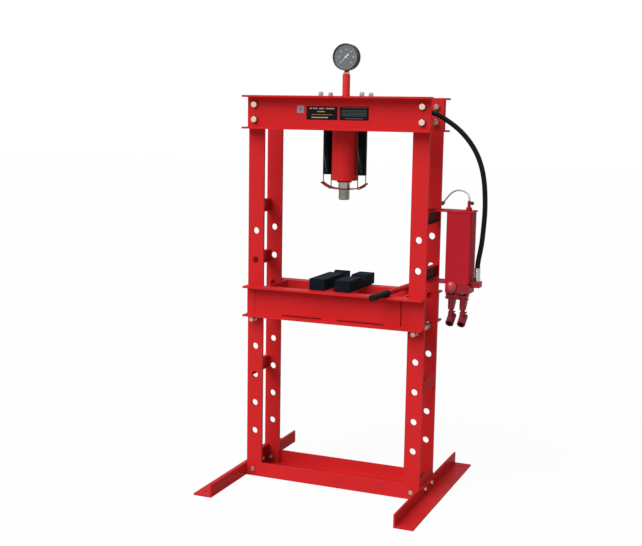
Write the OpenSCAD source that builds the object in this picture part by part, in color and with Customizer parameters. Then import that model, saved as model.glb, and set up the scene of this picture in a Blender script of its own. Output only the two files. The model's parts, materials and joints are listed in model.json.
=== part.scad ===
// H-frame shop press: a bolted steel frame, a bed resting on two pins, a cylinder with return
// springs in the head, a pressure gauge on top and a two-lever hand pump at the right side.
// Millimetres. Origin: on the floor, midway between the four posts. Front is -Y, right is +X.

/* [Frame] */
// Height of the head's top face above the floor
frame_height = 1645; // [1600:1:1750]
// Distance from the middle to the centre line of each post
post_centre_x = 360; // [350:1:380]
// Width of a post's flat bar
post_w = 70; // [66:1:76]
// Thickness of a post's flat bar
post_t = 12; // [10:1:14]
// Clear gap between the front and the rear posts
post_gap = 172; // [166:1:180]
// Diameter of the holes for the bed pins
pin_hole_d = 28; // [27:0.5:30]
// Height of the lowest pin hole
first_pin_hole_z = 203; // [190:1:220]
// Distance between pin holes
pin_pitch = 125; // [122:1:128]
// Number of pin holes in each post
pin_hole_count = 8; // [7:1:8]

/* [Head] */
// Height of the head channels
head_h = 138; // [132:1:150]
// Thickness of the head web
head_web_t = 8; // [6:1:10]
// Thickness of the head flanges
head_flange_t = 8; // [6:1:10]
// Reach of the head flanges from the back of the web
head_flange_w = 54; // [48:1:64]
// How far the head web runs past the posts
head_web_over = 3; // [1:1:6]
// How far the head flanges run past the posts
head_flange_over = 10; // [8:1:16]
// Length of the plate between the two head channels
top_plate_l = 250; // [240:1:280]
// Thickness of that plate
top_plate_t = 16; // [12:1:20]
// Length of the plate that carries the cylinder
mount_plate_l = 220; // [212:1:236]
// Width of the plate that carries the cylinder
mount_plate_w = 150; // [140:1:170]
// Thickness of the plate that carries the cylinder
mount_plate_t = 16; // [12:1:20]

/* [Fasteners] */
// Thread size of the head bolts
head_bolt_d = 16; // [14:1:16]
// Thread size of the base bolts
base_bolt_d = 12; // [10:1:14]
// Thread size of the bolts in the top plate
plate_bolt_d = 12; // [10:1:14]
// Height of a stud end above the top plate
stud_end = 19; // [17:1:22]
// Distance between the two bolts at each end of the head
head_bolt_pitch = 62; // [56:1:70]
// Distance between the plate bolts along the head
plate_bolt_pitch_x = 180; // [172:1:186]
// Distance between the plate bolts across the head
plate_bolt_pitch_y = 108; // [100:1:112]
// Height of the base bolts
base_bolt_z = 32; // [28:1:36]
// Distance between the two bolts in each foot
foot_bolt_pitch = 92; // [80:1:100]

/* [Base] */
// Leg of the base rail angle
rail_leg = 63; // [55:1:70]
// Thickness of the base rail angle
rail_t = 6; // [5:1:8]
// Length of a foot
foot_l = 864; // [800:2:940]
// Flat leg of a foot
foot_flat = 81; // [75:1:95]
// Upright leg of a foot
foot_upright = 55; // [50:1:62]
// Thickness of a foot
foot_t = 8; // [6:1:10]
// Diameter of the anchor holes in the feet
anchor_hole_d = 14; // [12:1:18]
// Distance of an anchor hole from the end of its foot
anchor_end = 42; // [30:1:60]

/* [Spacers] */
// Height of a spacer between two posts
spacer_h = 55; // [50:1:60]
// Depth of a spacer
spacer_d = 20; // [16:1:26]
// Sheet of a spacer
spacer_t = 5; // [4:1:6]
// Top of the base spacers
base_spacer_top = 90; // [80:1:100]
// Centre height of the low left spacer
spacer_low_left_z = 474; // [460:1:490]
// Centre height of the middle left spacer
spacer_mid_left_z = 951; // [935:1:965]
// Centre height of the high left spacer
spacer_high_left_z = 1176; // [1160:1:1190]
// Centre height of the low right spacer
spacer_low_right_z = 474; // [460:1:490]

/* [Plates on the head] */
// Height of the lettering plates
plate_h = 54; // [46:1:60]
// Length of the long plate
plate_long = 135; // [110:1:150]
// Length of the short plate
plate_short = 124; // [100:1:140]
// Gap between the plates
plate_gap = 11; // [6:1:20]
// Side of the square badge
badge_side = 30; // [24:1:34]
// Thickness of the plates
plate_t = 1.2; // [1:0.1:2]

/* [Bed] */
// Height of the bed channels
bed_h = 130; // [120:1:140]
// Thickness of the bed web
bed_web_t = 7; // [6:1:9]
// Thickness of the bed flanges
bed_flange_t = 8; // [7:1:10]
// Reach of the bed flanges from the back of the web
bed_flange_w = 55; // [50:1:62]
// Length of the bed
bed_l = 790; // [770:1:800]
// Gap between a post and the bed channel beside it
bed_play = 1.5; // [1:0.5:3]
// Number of pin holes below the one that carries the bed
bed_hole = 4; // [3:1:4]
// Distance from the middle to each end plate
bed_end_x = 304; // [290:1:308]
// Thickness of the end plates
bed_end_t = 10; // [8:1:12]
// Diameter of a bed pin
pin_d = 25; // [24:0.5:26]
// Length of a bed pin
pin_l = 270; // [255:1:300]
// How far a pin stands out in front of the front post
pin_front = 42; // [36:1:50]

/* [Press blocks] */
// Length of a press block
block_l = 300; // [280:1:310]
// Width of a press block
block_w = 70; // [60:1:76]
// Height of a press block
block_h = 48; // [40:1:55]
// Depth of the notch in a block
notch_depth = 18; // [12:1:22]
// Width of the notch in a block
notch_w = 64; // [50:1:70]

/* [Cylinder] */
// Outer diameter of the barrel
barrel_d = 108; // [104:1:110]
// Bore of the barrel
barrel_bore = 90; // [84:1:94]
// Height of the barrel's lower end
barrel_low_z = 1300; // [1280:1:1310]
// Thickness of the closed top of the barrel
barrel_cap = 20; // [16:1:24]
// Diameter of the ram
ram_d = 50; // [44:1:54]
// Stroke of the ram
ram_stroke = 150; // [130:1:160]
// Height of the piston
piston_h = 30; // [26:1:36]
// Running gap around moving shafts
running_gap = 0.05; // [0.03:0.01:0.08]
// Diameter of the ram's end piece
tip_d = 46; // [40:1:50]
// Length of the ram's end piece
tip_l = 43; // [36:1:48]
// Thickness of the yoke strap
yoke_t = 5; // [4:1:6]
// Width of the yoke strap
yoke_w = 34; // [30:1:40]
// Half the span of the yoke
yoke_half = 101; // [100:1:106]
// Outer diameter of a return spring
spring_d = 40; // [36:1:40]
// Wire of a return spring
spring_wire = 4; // [3.5:0.5:4.5]
// Distance from the ram to each spring
spring_x = 77; // [76:1:78]

/* [Gauge] */
// Diameter of the gauge pipe
gauge_pipe_d = 32; // [28:1:36]
// Height of the gauge pipe above the head
gauge_pipe_top = 91; // [80:1:110]
// Diameter of the gauge
gauge_d = 108; // [100:1:112]
// Depth of the gauge case
gauge_depth = 38; // [34:1:42]
// Angle through which the needle turns
needle_sweep = 270; // [240:5:270]

/* [Pump] */
// Distance from the middle to the near side of the tank
tank_x = 457; // [450:1:465]
// Length of the tank across the machine
tank_w = 102; // [96:1:104]
// Depth of the tank from front to back
tank_d = 86; // [80:1:88]
// Height of the tank
tank_h = 283; // [270:1:290]
// Sheet of the tank
tank_t = 2; // [1.5:0.5:3]
// Height of the tank's lower end
tank_z = 910; // [905:1:915]
// Thickness of the two bracket plates
bracket_t = 6; // [5:1:8]
// Width of the two bracket plates
bracket_w = 90; // [88:1:100]
// Height of the pump body
pump_h = 36; // [34:1:40]
// Diameter of the low-pressure plunger
low_plunger_d = 20; // [18:1:21]
// Diameter of the high-pressure plunger
high_plunger_d = 12; // [12:0.5:14]
// Distance from the lever pivot to the plungers
crank = 22; // [21:0.5:23]
// Diameter of the lever pivot pin
pivot_d = 10; // [8:1:11]
// Diameter of a lever's tube
lever_d = 18; // [16:1:20]
// Distance from the lever pivot down to the socket
lever_drop = 94; // [88:1:104]
// Outer diameter of a handle socket
socket_d = 34; // [32:1:36]
// Bore of a handle socket
socket_bore = 22.4; // [22.3:0.1:22.6]
// Length of a handle socket
socket_l = 50; // [44:1:56]
// How far a socket points below the level
socket_tilt = 35; // [30:1:40]
// Lift of a lever from rest to its upper stop
lever_up = 35; // [30:1:35]
// Drop of a lever from rest to its lower stop
lever_down = 5; // [4:1:5]
// Diameter of the release knob
release_d = 44; // [40:1:46]

/* [Pump handle] */
// Diameter of the handle's rod
handle_rod_d = 22; // [20:0.5:22]
// Diameter of the handle's grip
handle_grip_d = 26; // [24:0.5:28]
// Length of the whole handle
handle_l = 470; // [440:1:520]
// Length of the grip
handle_grip_l = 172; // [150:1:180]

/* [Hoses] */
// Diameter of the hydraulic hose
hose_d = 20; // [18:1:22]
// Diameter of the vent tube
vent_tube_d = 7; // [6:0.5:8]

/* [Hidden] */
$fn = 64;

// Colours
red = "#C8242B";
deep_red = "#A82029";
zinc = "#B9B6A8";
steel = "#9C9A93";
black = "#1C1D1F";
brass = "#B8A27A";
pale = "#C9CDCC";

// A hair that lets a cut run past the face it starts on
eps = 0.5;
// Gap between two pieces that lie on each other but move apart
rest_gap = 0.3;
// Gap of a bolt in its hole, all round
bolt_gap = 0.5;

// Posts
post_x_in = post_centre_x - post_w / 2;
post_x_out = post_centre_x + post_w / 2;
post_y_in = post_gap / 2;
post_y_out = post_y_in + post_t;
post_top_z = frame_height - 4;
side_signs = [-1, 1];

// Head
head_low_z = frame_height - head_h;
head_mid_z = frame_height - head_h / 2;
head_bolt_x = post_centre_x + 5;
top_plate_z = frame_height - top_plate_t;
mount_plate_z = top_plate_z - mount_plate_t;
lug_drop = 25;
lug_t = 6;
lug_w = 24;
lug_hole_d = 10;
lug_hole_z = mount_plate_z - 13;

// Base
rail_bolt_x = post_centre_x + 2;
anchor_x = post_x_out + (foot_t + foot_flat) / 2;
anchor_y = foot_l / 2 - anchor_end;
base_spacer_h = base_spacer_top - rail_t;

// Bed
pin_z = first_pin_hole_z + bed_hole * pin_pitch - (pin_hole_d - pin_d) / 2 + rest_gap;
bed_low_z = pin_z + pin_d / 2 + rest_gap;
bed_top_z = bed_low_z + bed_h;
bed_y = post_y_out + bed_play;
block_z = bed_top_z + rest_gap;
block_rear_y = bed_y + bed_flange_w + 33;
block_left_x = -70.5;
block_right_x = 42.5;
left_notch_y = 145;
right_notch_y = 60;

// Handle lying on the bed
handle_heading = 3.9;
handle_front_x = 228;
handle_front_y = -274;
handle_seat_span = 2 * bed_y + bed_flange_w;
handle_pitch = atan((handle_grip_d - handle_rod_d) / 2 / handle_seat_span);

// Cylinder
barrel_r = barrel_d / 2;
bore_r = barrel_bore / 2;
barrel_top_z = mount_plate_z;
chamber_top_z = barrel_top_z - barrel_cap;
gland_h = 40;
gland_nose = 8;
gland_d = 62;
piston_r = bore_r - running_gap;
piston_top_z = chamber_top_z - 27;
seal_h = 8;
seal_depth = 6;
seal_z = piston_top_z - piston_h / 2 - seal_h / 2;
yoke_low_z = barrel_low_z - 38;
yoke_flat = 27;
yoke_bend_r = 120;
ram_low_z = yoke_low_z + yoke_t;
neck_d = 28;
neck_l = 22;
tip_low_z = yoke_low_z - tip_l;
port_d = 14;
port_turn = 30;
port_z = chamber_top_z - 18;

// Return springs
spring_low_z = barrel_low_z + 22;
spring_ring_r = 10.5;
spring_ring_z = lug_hole_z - spring_ring_r - 0.5;
spring_coil_top_z = spring_ring_z - spring_ring_r;
loop_reach = spring_d / 2 - spring_wire / 2 - 0.3;
loop_hole_d = spring_wire + 1;
loop_cut_l = 60;

// Gauge
gauge_pipe_bore = 10;
adapter_h = 9;
adapter_d = 26;
pipe_top_z = frame_height + gauge_pipe_top;
adapter_top_z = pipe_top_z + adapter_h;
gauge_stem_h = 6;
gauge_z = adapter_top_z + gauge_stem_h + gauge_d / 2;
gauge_wall = 1.5;
bezel_over = 1;
bezel_lip = 4;
bezel_h = 4;
gauge_front_y = -gauge_depth / 2;
gauge_inner_r = gauge_d / 2 - gauge_wall;
dial_y = gauge_front_y + 9;
needle_l = 38;
needle_tail = 12;
needle_shaft_d = 2.4;

// Pump
tank_top_z = tank_z + tank_h;
tank_mid_x = tank_x + tank_w / 2;
tank_corner = 6;
bracket_in_x = post_x_out - spacer_d;
bracket_top_out_x = tank_x + tank_w + 3;
bracket_low_out_x = bracket_top_out_x - 10;
bracket_low_z = tank_z - bracket_t;
spacer_high_right_z = tank_top_z - spacer_h / 2;
spacer_mid_right_z = tank_z + spacer_h / 2;
pump_top_z = bracket_low_z;
pump_low_z = pump_top_z - pump_h;
pump_x = tank_x + 4;
pump_l = tank_x + tank_w + 2 - pump_x;
pump_front_y = -45;
pump_rear_y = 35;
manifold_l = 35;
manifold_low_z = pump_top_z - 12;
manifold_top_z = tank_z + 5;
manifold_front_y = -24;
manifold_rear_y = 22;
hose_x = pump_x + pump_l + 20;
pivot_y = -20;
pivot_drop = 18;
lever_inset = 22;
lever_pitch = 48;
pivot_z = pump_low_z - pivot_drop;
low_x = pump_x + lever_inset;
high_x = low_x + lever_pitch;
lever_half = 12;
lug_gap = 0.5;
pump_lug_end = high_x + lever_half + lug_gap + 9;
plunger_y = pivot_y + crank;
cheek_t = 4;
cross_pin_d = 6;
slot_d = cross_pin_d + 1;
cheek_edge = 3;
hub_d = 22;
gusset_drop = 52;
swing_mid = (lever_up - lever_down) / 2;
cross_pin_z = pivot_z + crank * tan(swing_mid);
plunger_top_z = pump_top_z - 8;
plunger_bore_top_z = pump_top_z - 2;
neck_low_z = pump_low_z + 2;
pump_lug_d = 24;
release_x = pump_x + 26;
release_z = pump_low_z + 26;
socket_z = pivot_z - lever_drop;
socket_bore_l = 38;

// Vent
vent_inset = 80;
vent_x = tank_x + vent_inset;
vent_boss_d = 24;
vent_boss_h = 13;
vent_body_d = 14;
vent_body_h = 26;
bracket_top_z = tank_top_z + bracket_t;
vent_top_z = bracket_top_z + vent_boss_h + vent_body_h;
vent_knob_z = vent_top_z - 9;

// Route of the hydraulic hose, from the cylinder's port to the pump
HOSE_ROUTE = [
    [78, 45, 1575], [104, 60, 1575], [134, 69, 1576], [172, 72, 1577], [215, 66, 1579],
    [260, 50, 1582], [305, 28, 1585], [340, 11, 1586], [378, 0, 1583], [426, 0, 1560],
    [474, 0, 1528], [515, 0, 1490], [550, 0, 1444], [577, 0, 1388], [593, 0, 1326],
    [600, 0, 1262], [602, 0, 1197], [599, 0, 1131], [594, 0, 1070], [588, 0, 1030],
    [583, 0, 1000], [581, 0, 980], [581, 0, 961]
];

// Route of the vent tube, from the valve to its clip on the rear post
VENT_ROUTE = [
    [537, 0, 1238], [537, 0, 1247], [535, 2, 1256], [529, 6, 1264], [520, 12, 1270],
    [508, 19, 1274], [496, 28, 1276], [483, 38, 1276], [470, 48, 1274], [457, 58, 1269],
    [445, 67, 1262], [434, 75, 1253], [424, 82, 1243], [415, 87, 1233], [407, 90, 1223],
    [402, 92, 1216]
];

function unit(v) = v / norm(v);

// Direction of a route at point i, from its neighbours
function route_way(p, i) = unit(p[min(i + 1, len(p) - 1)] - p[max(i - 1, 0)]);

// Ring of n points of radius r around point i of a route
function route_ring(p, i, r, n) =
    let (
        way = route_way(p, i),
        side = unit(cross(way, [0, 1, 0])),
        up = cross(side, way)
    )
    [for (k = [0 : n - 1]) p[i] + r * (cos(360 * k / n) * side + sin(360 * k / n) * up)];

module tube_along(p, d, n) {
    rings = len(p);
    points = [for (i = [0 : rings - 1]) each route_ring(p, i, d / 2, n)];
    sides = [
        for (i = [0 : rings - 2])
            for (k = [0 : n - 1])
                [i * n + k, i * n + (k + 1) % n, (i + 1) * n + (k + 1) % n, (i + 1) * n + k]
    ];
    first = [for (k = [n - 1 : -1 : 0]) k];
    last = [for (k = [0 : n - 1]) (rings - 1) * n + k];
    polyhedron(points, concat([first], sides, [last]), convexity = 6);
}

// A box from its lowest and highest corners
module block_between(low, high) {
    translate(low) cube(high - low);
}

// Steel angle or channel pieces and hexagons lie along these turns
module along_x() {
    rotate([0, 90, 0]) children();
}

module along_y() {
    rotate([-90, 0, 0]) children();
}

module hexagon(across_flats, h) {
    cylinder(d = across_flats / cos(30), h = h, $fn = 6);
}

module ring(outer_d, inner_d, h) {
    difference() {
        cylinder(d = outer_d, h = h);
        translate([0, 0, -eps]) cylinder(d = inner_d, h = h + 2 * eps);
    }
}

// Bolt along +Z whose head stands below z = 0 and whose shank runs up through the grip
module bolt(d, grip) {
    translate([0, 0, -0.65 * d]) hexagon(1.5 * d, 0.65 * d);
    cylinder(d = d, h = grip + 1.2 * d);
}

module nut(d) {
    difference() {
        hexagon(1.5 * d, 0.8 * d);
        translate([0, 0, -eps]) cylinder(d = d, h = 0.8 * d + 2 * eps);
    }
}

// Places of the head bolts: side in X, side in Y and height
function head_bolt_spots() = [
    for (sx = side_signs, sy = side_signs, sz = side_signs)
        [sx * head_bolt_x, sy, head_mid_z + sz * head_bolt_pitch / 2]
];

// Places of the rail bolts: side in X and side in Y
function rail_bolt_spots() = [for (sx = side_signs, sy = side_signs) [sx * rail_bolt_x, sy, base_bolt_z]];

// Puts its children at a spot of the front or rear face, pointing inwards from distance y
module from_face(spot, y) {
    translate([spot[0], spot[1] * y, spot[2]]) rotate([spot[1] * 90, 0, 0]) children();
}

// ---- Frame ----

module post(sx, sy) {
    low = sy > 0 ? post_y_in : -post_y_out;
    difference() {
        translate([sx * post_centre_x - post_w / 2, low, rail_t])
            cube([post_w, post_t, post_top_z - rail_t]);
        for (i = [0 : pin_hole_count - 1])
            translate([sx * post_centre_x, low - eps, first_pin_hole_z + i * pin_pitch])
                along_y() cylinder(d = pin_hole_d, h = post_t + 2 * eps);
        for (sz = side_signs)
            translate([sx * head_bolt_x, low - eps, head_mid_z + sz * head_bolt_pitch / 2])
                along_y() cylinder(d = head_bolt_d + 2 * bolt_gap, h = post_t + 2 * eps);
        translate([sx * rail_bolt_x, low - eps, base_bolt_z])
            along_y() cylinder(d = base_bolt_d + 2 * bolt_gap, h = post_t + 2 * eps);
    }
}

module head_beam() {
    web_half = post_x_out + head_web_over;
    flange_half = post_x_out + head_flange_over;
    difference() {
        union() {
            block_between([-web_half, post_y_out, head_low_z],
                          [web_half, post_y_out + head_web_t, frame_height]);
            for (z = [head_low_z, frame_height - head_flange_t])
                block_between([-flange_half, post_y_out, z],
                              [flange_half, post_y_out + head_flange_w, z + head_flange_t]);
        }
        for (sx = side_signs, sz = side_signs)
            translate([sx * head_bolt_x, post_y_out - eps, head_mid_z + sz * head_bolt_pitch / 2])
                along_y() cylinder(d = head_bolt_d + 2 * bolt_gap, h = head_web_t + 2 * eps);
    }
}

// Copies at the four corners of the plate bolt pattern
module at_plate_bolts() {
    for (sx = side_signs, sy = side_signs)
        translate([sx * plate_bolt_pitch_x / 2, sy * plate_bolt_pitch_y / 2, 0]) children();
}

module head_top_plate() {
    color(red) difference() {
        block_between([-top_plate_l / 2, -post_y_out, top_plate_z],
                      [top_plate_l / 2, post_y_out, frame_height]);
        translate([0, 0, top_plate_z - eps])
            cylinder(d = gauge_pipe_d + 1, h = top_plate_t + 2 * eps);
        translate([0, 0, top_plate_z - eps])
            at_plate_bolts() cylinder(d = plate_bolt_d + 2 * bolt_gap, h = top_plate_t + 2 * eps);
    }
}

module cylinder_mount_plate() {
    color(red) difference() {
        union() {
            block_between([-mount_plate_l / 2, -mount_plate_w / 2, mount_plate_z],
                          [mount_plate_l / 2, mount_plate_w / 2, top_plate_z]);
            for (sx = side_signs)
                translate([sx * spring_x - lug_t / 2, -lug_w / 2, mount_plate_z - lug_drop])
                    cube([lug_t, lug_w, lug_drop + eps]);
        }
        translate([0, 0, mount_plate_z - eps])
            cylinder(d = gauge_pipe_d + 1, h = mount_plate_t + 2 * eps);
        translate([0, 0, mount_plate_z - eps])
            at_plate_bolts() cylinder(d = plate_bolt_d + 2 * bolt_gap, h = mount_plate_t + 2 * eps);
        for (sx = side_signs)
            translate([sx * spring_x - lug_t, 0, lug_hole_z])
                along_x() cylinder(d = lug_hole_d, h = 2 * lug_t);
    }
}

// Stud, nut and lock nut, with a little thread showing above
module top_plate_bolts() {
    nut_h = 0.65 * plate_bolt_d;
    thread_end = 2;
    color(zinc) translate([0, 0, frame_height])
        at_plate_bolts() {
            rotate([180, 0, 0]) bolt(plate_bolt_d, top_plate_t);
            translate([0, 0, nut_h]) rotate(30)
                hexagon(1.5 * plate_bolt_d, stud_end - nut_h - thread_end);
            cylinder(d = plate_bolt_d, h = stud_end);
        }
}

washer_t = 3;
base_grip = rail_t + post_t;
foot_grip = foot_t + spacer_t;

module frame_bolts() {
    color(zinc) {
        for (spot = head_bolt_spots())
            from_face(spot, post_y_out + head_web_t + washer_t)
                bolt(head_bolt_d, washer_t + head_web_t + post_t);
        for (spot = rail_bolt_spots())
            from_face(spot, post_y_out + rail_t) bolt(base_bolt_d, base_grip);
        for (sx = side_signs, sy = side_signs)
            translate([sx * (post_x_out + foot_t), sy * foot_bolt_pitch / 2, base_bolt_z])
                rotate([0, -sx * 90, 0]) bolt(base_bolt_d, foot_grip);
    }
}

module frame_nuts() {
    color(zinc) {
        for (spot = head_bolt_spots())
            from_face(spot, post_y_in) nut(head_bolt_d);
        for (spot = rail_bolt_spots())
            from_face(spot, post_y_in) nut(base_bolt_d);
        for (sx = side_signs, sy = side_signs)
            translate([sx * (post_x_out - spacer_t), sy * foot_bolt_pitch / 2, base_bolt_z])
                rotate([0, -sx * 90, 0]) nut(base_bolt_d);
    }
}

module frame_washers() {
    color(zinc) for (spot = head_bolt_spots())
        from_face(spot, post_y_out + head_web_t + washer_t)
            ring(2 * head_bolt_d, head_bolt_d + 2 * bolt_gap, washer_t);
}

// Folded channel between the front and the rear post of one side, open inwards (-1) or outwards (1)
module spacer(sx, z, h, open = -1) {
    x_face = sx * (post_x_out - spacer_d / 2);
    difference() {
        translate([x_face - spacer_d / 2, -post_y_in, z]) cube([spacer_d, post_gap, h]);
        translate([x_face + open * sx * spacer_t - spacer_d / 2, -post_y_in - eps, z + spacer_t])
            cube([spacer_d, post_gap + 2 * eps, h - 2 * spacer_t]);
    }
}

module post_spacers() {
    color(red) {
        for (z = [spacer_low_left_z, spacer_mid_left_z, spacer_high_left_z])
            spacer(-1, z - spacer_h / 2, spacer_h);
        spacer(1, spacer_low_right_z - spacer_h / 2, spacer_h);
        for (z = [spacer_mid_right_z, spacer_high_right_z])
            spacer(1, z - spacer_h / 2, spacer_h, 1);
    }
}

module base_spacers() {
    color(red) for (sx = side_signs)
        difference() {
            spacer(sx, rail_t, base_spacer_h);
            for (sy = side_signs)
                translate([sx * (post_x_out - spacer_d / 2), sy * foot_bolt_pitch / 2, base_bolt_z])
                    along_x() cylinder(d = base_bolt_d + 2 * bolt_gap, h = 2 * spacer_d, center = true);
        }
}

// Angle with its upright leg against the posts and its flat leg turned inwards under them
module rail() {
    upright_y = post_y_out + rail_t;
    difference() {
        union() {
            block_between([-post_x_out, post_y_out, 0], [post_x_out, upright_y, rail_leg]);
            block_between([-post_x_out, upright_y - rail_leg, 0], [post_x_out, upright_y, rail_t]);
        }
        for (sx = side_signs)
            translate([sx * rail_bolt_x, post_y_out - eps, base_bolt_z])
                along_y() cylinder(d = base_bolt_d + 2 * bolt_gap, h = rail_t + 2 * eps);
    }
}

module foot() {
    difference() {
        union() {
            block_between([post_x_out, -foot_l / 2, 0], [post_x_out + foot_t, foot_l / 2, foot_upright]);
            block_between([post_x_out, -foot_l / 2, 0], [post_x_out + foot_flat, foot_l / 2, foot_t]);
        }
        for (sy = side_signs) {
            translate([post_x_out - eps, sy * foot_bolt_pitch / 2, base_bolt_z])
                along_x() cylinder(d = base_bolt_d + 2 * bolt_gap, h = foot_t + 2 * eps);
            translate([anchor_x, sy * anchor_y, -eps])
                cylinder(d = anchor_hole_d, h = foot_t + 2 * eps);
        }
    }
}

module head_plates() {
    face_y = post_y_out + head_web_t;
    low_z = head_mid_z - plate_h / 2;
    split_x = 10;
    badge_x = split_x - plate_gap / 2 - plate_long - 42;
    color(black) {
        block_between([split_x - plate_gap / 2 - plate_long, -face_y - plate_t, low_z],
                      [split_x - plate_gap / 2, -face_y, low_z + plate_h]);
        block_between([split_x + plate_gap / 2, -face_y - plate_t, low_z],
                      [split_x + plate_gap / 2 + plate_short, -face_y, low_z + plate_h]);
        block_between([badge_x, -face_y - plate_t, head_mid_z - 1],
                      [badge_x + badge_side, -face_y, head_mid_z - 1 + badge_side]);
    }
}

// ---- Bed ----

module bed_channel() {
    block_between([-bed_l / 2, bed_y, bed_low_z], [bed_l / 2, bed_y + bed_web_t, bed_top_z]);
    for (z = [bed_low_z, bed_top_z - bed_flange_t])
        block_between([-bed_l / 2, bed_y, z], [bed_l / 2, bed_y + bed_flange_w, z + bed_flange_t]);
}

module bed_end_plates() {
    color(red) for (sx = side_signs)
        translate([sx * bed_end_x - bed_end_t / 2, -bed_y, bed_low_z])
            cube([bed_end_t, 2 * bed_y, bed_h]);
}

module bed_pin(sx) {
    chamfer = 2;
    color(zinc) translate([sx * post_centre_x, -post_y_out - pin_front, pin_z]) along_y() {
        cylinder(d1 = pin_d - 2 * chamfer, d2 = pin_d, h = chamfer);
        translate([0, 0, chamfer]) cylinder(d = pin_d, h = pin_l - 2 * chamfer);
        translate([0, 0, pin_l - chamfer]) cylinder(d1 = pin_d, d2 = pin_d - 2 * chamfer, h = chamfer);
    }
}

module press_block(x, notch_y) {
    color(black) translate([x - block_w / 2, 0, 0]) rotate([90, 0, 90])
        linear_extrude(block_w) difference() {
            translate([block_rear_y - block_l, block_z]) square([block_l, block_h]);
            translate([notch_y, block_z + block_h]) polygon([
                [-notch_w / 2, eps], [-notch_w / 2, 0], [-5, -notch_depth], [5, -notch_depth],
                [notch_w / 2, 0], [notch_w / 2, eps]
            ]);
        }
}

// Puts its children along the loose handle, from its front end backwards
module on_handle() {
    front_z = block_z + handle_grip_d / 2
        + (-bed_y - bed_flange_w / 2 - handle_front_y) * tan(handle_pitch);
    translate([handle_front_x, handle_front_y, front_z])
        rotate([-90 - handle_pitch, 0, -handle_heading]) children();
}

module pump_handle_rod() {
    color(red) on_handle() translate([0, 0, handle_grip_l])
        cylinder(d = handle_rod_d, h = handle_l - handle_grip_l);
}

module pump_handle_grip() {
    color(black) on_handle() cylinder(d = handle_grip_d, h = handle_grip_l);
}

// ---- Cylinder ----

module cylinder_barrel() {
    color(red) difference() {
        translate([0, 0, barrel_low_z]) cylinder(d = barrel_d, h = barrel_top_z - barrel_low_z);
        translate([0, 0, barrel_low_z - eps])
            cylinder(d = barrel_bore, h = chamber_top_z - barrel_low_z + eps);
        translate([0, 0, chamber_top_z - eps]) cylinder(d = gauge_pipe_bore, h = barrel_cap + 2 * eps);
        translate([0, 0, port_z]) rotate([0, 90, port_turn])
            translate([0, 0, bore_r / 2]) cylinder(d = port_d, h = barrel_r);
    }
}

module cylinder_gland() {
    color(red) difference() {
        union() {
            translate([0, 0, barrel_low_z]) cylinder(d = barrel_bore, h = gland_h);
            translate([0, 0, barrel_low_z - gland_nose]) cylinder(d = gland_d, h = gland_nose + eps);
        }
        translate([0, 0, barrel_low_z - gland_nose - eps])
            cylinder(d = ram_d + 2 * running_gap, h = gland_h + gland_nose + 2 * eps);
    }
}

module ram() {
    color(pale) difference() {
        union() {
            translate([0, 0, ram_low_z]) cylinder(d = ram_d, h = piston_top_z - ram_low_z);
            translate([0, 0, piston_top_z - piston_h]) cylinder(r = piston_r, h = piston_h);
            translate([0, 0, ram_low_z - neck_l]) cylinder(d = neck_d, h = neck_l + eps);
        }
        translate([0, 0, seal_z]) ring(barrel_bore + 2 * eps, 2 * (piston_r - seal_depth), seal_h);
    }
}

module piston_seal() {
    color(black) translate([0, 0, seal_z]) ring(2 * piston_r, 2 * (piston_r - seal_depth), seal_h);
}

module ram_tip() {
    chamfer = 3;
    color(steel) difference() {
        union() {
            translate([0, 0, tip_low_z]) cylinder(d1 = tip_d - 2 * chamfer, d2 = tip_d, h = chamfer);
            translate([0, 0, tip_low_z + chamfer]) cylinder(d = tip_d, h = tip_l - chamfer);
        }
        translate([0, 0, ram_low_z - neck_l]) cylinder(d = neck_d, h = neck_l + eps);
    }
}

// One upward-curving arm of the yoke, in the X-Z plane
module yoke_arm() {
    sweep = asin((yoke_half - yoke_flat) / yoke_bend_r);
    far = 2 * yoke_bend_r;
    translate([yoke_flat, yoke_bend_r]) intersection() {
        difference() {
            circle(r = yoke_bend_r, $fn = 180);
            circle(r = yoke_bend_r - yoke_t, $fn = 180);
        }
        polygon([[0, 0], [-eps, -far], [far * tan(sweep), -far]]);
    }
}

// Where the yoke's underside stands at distance x from the ram
function yoke_rise(x) = yoke_bend_r - sqrt(pow(yoke_bend_r, 2) - pow(x - yoke_flat, 2));

module yoke() {
    color(red) difference() {
        translate([0, yoke_w / 2, yoke_low_z]) rotate([90, 0, 0]) linear_extrude(yoke_w) {
            translate([-yoke_flat, 0]) square([2 * yoke_flat, yoke_t]);
            yoke_arm();
            mirror([1, 0]) yoke_arm();
        }
        translate([0, 0, yoke_low_z - eps]) cylinder(d = neck_d, h = yoke_t + 2 * eps);
        for (sx = side_signs, sy = side_signs)
            translate([sx * spring_x + sy * loop_reach, 0, yoke_low_z - loop_cut_l / 2])
                cylinder(d = loop_hole_d, h = loop_cut_l);
    }
}

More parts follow.
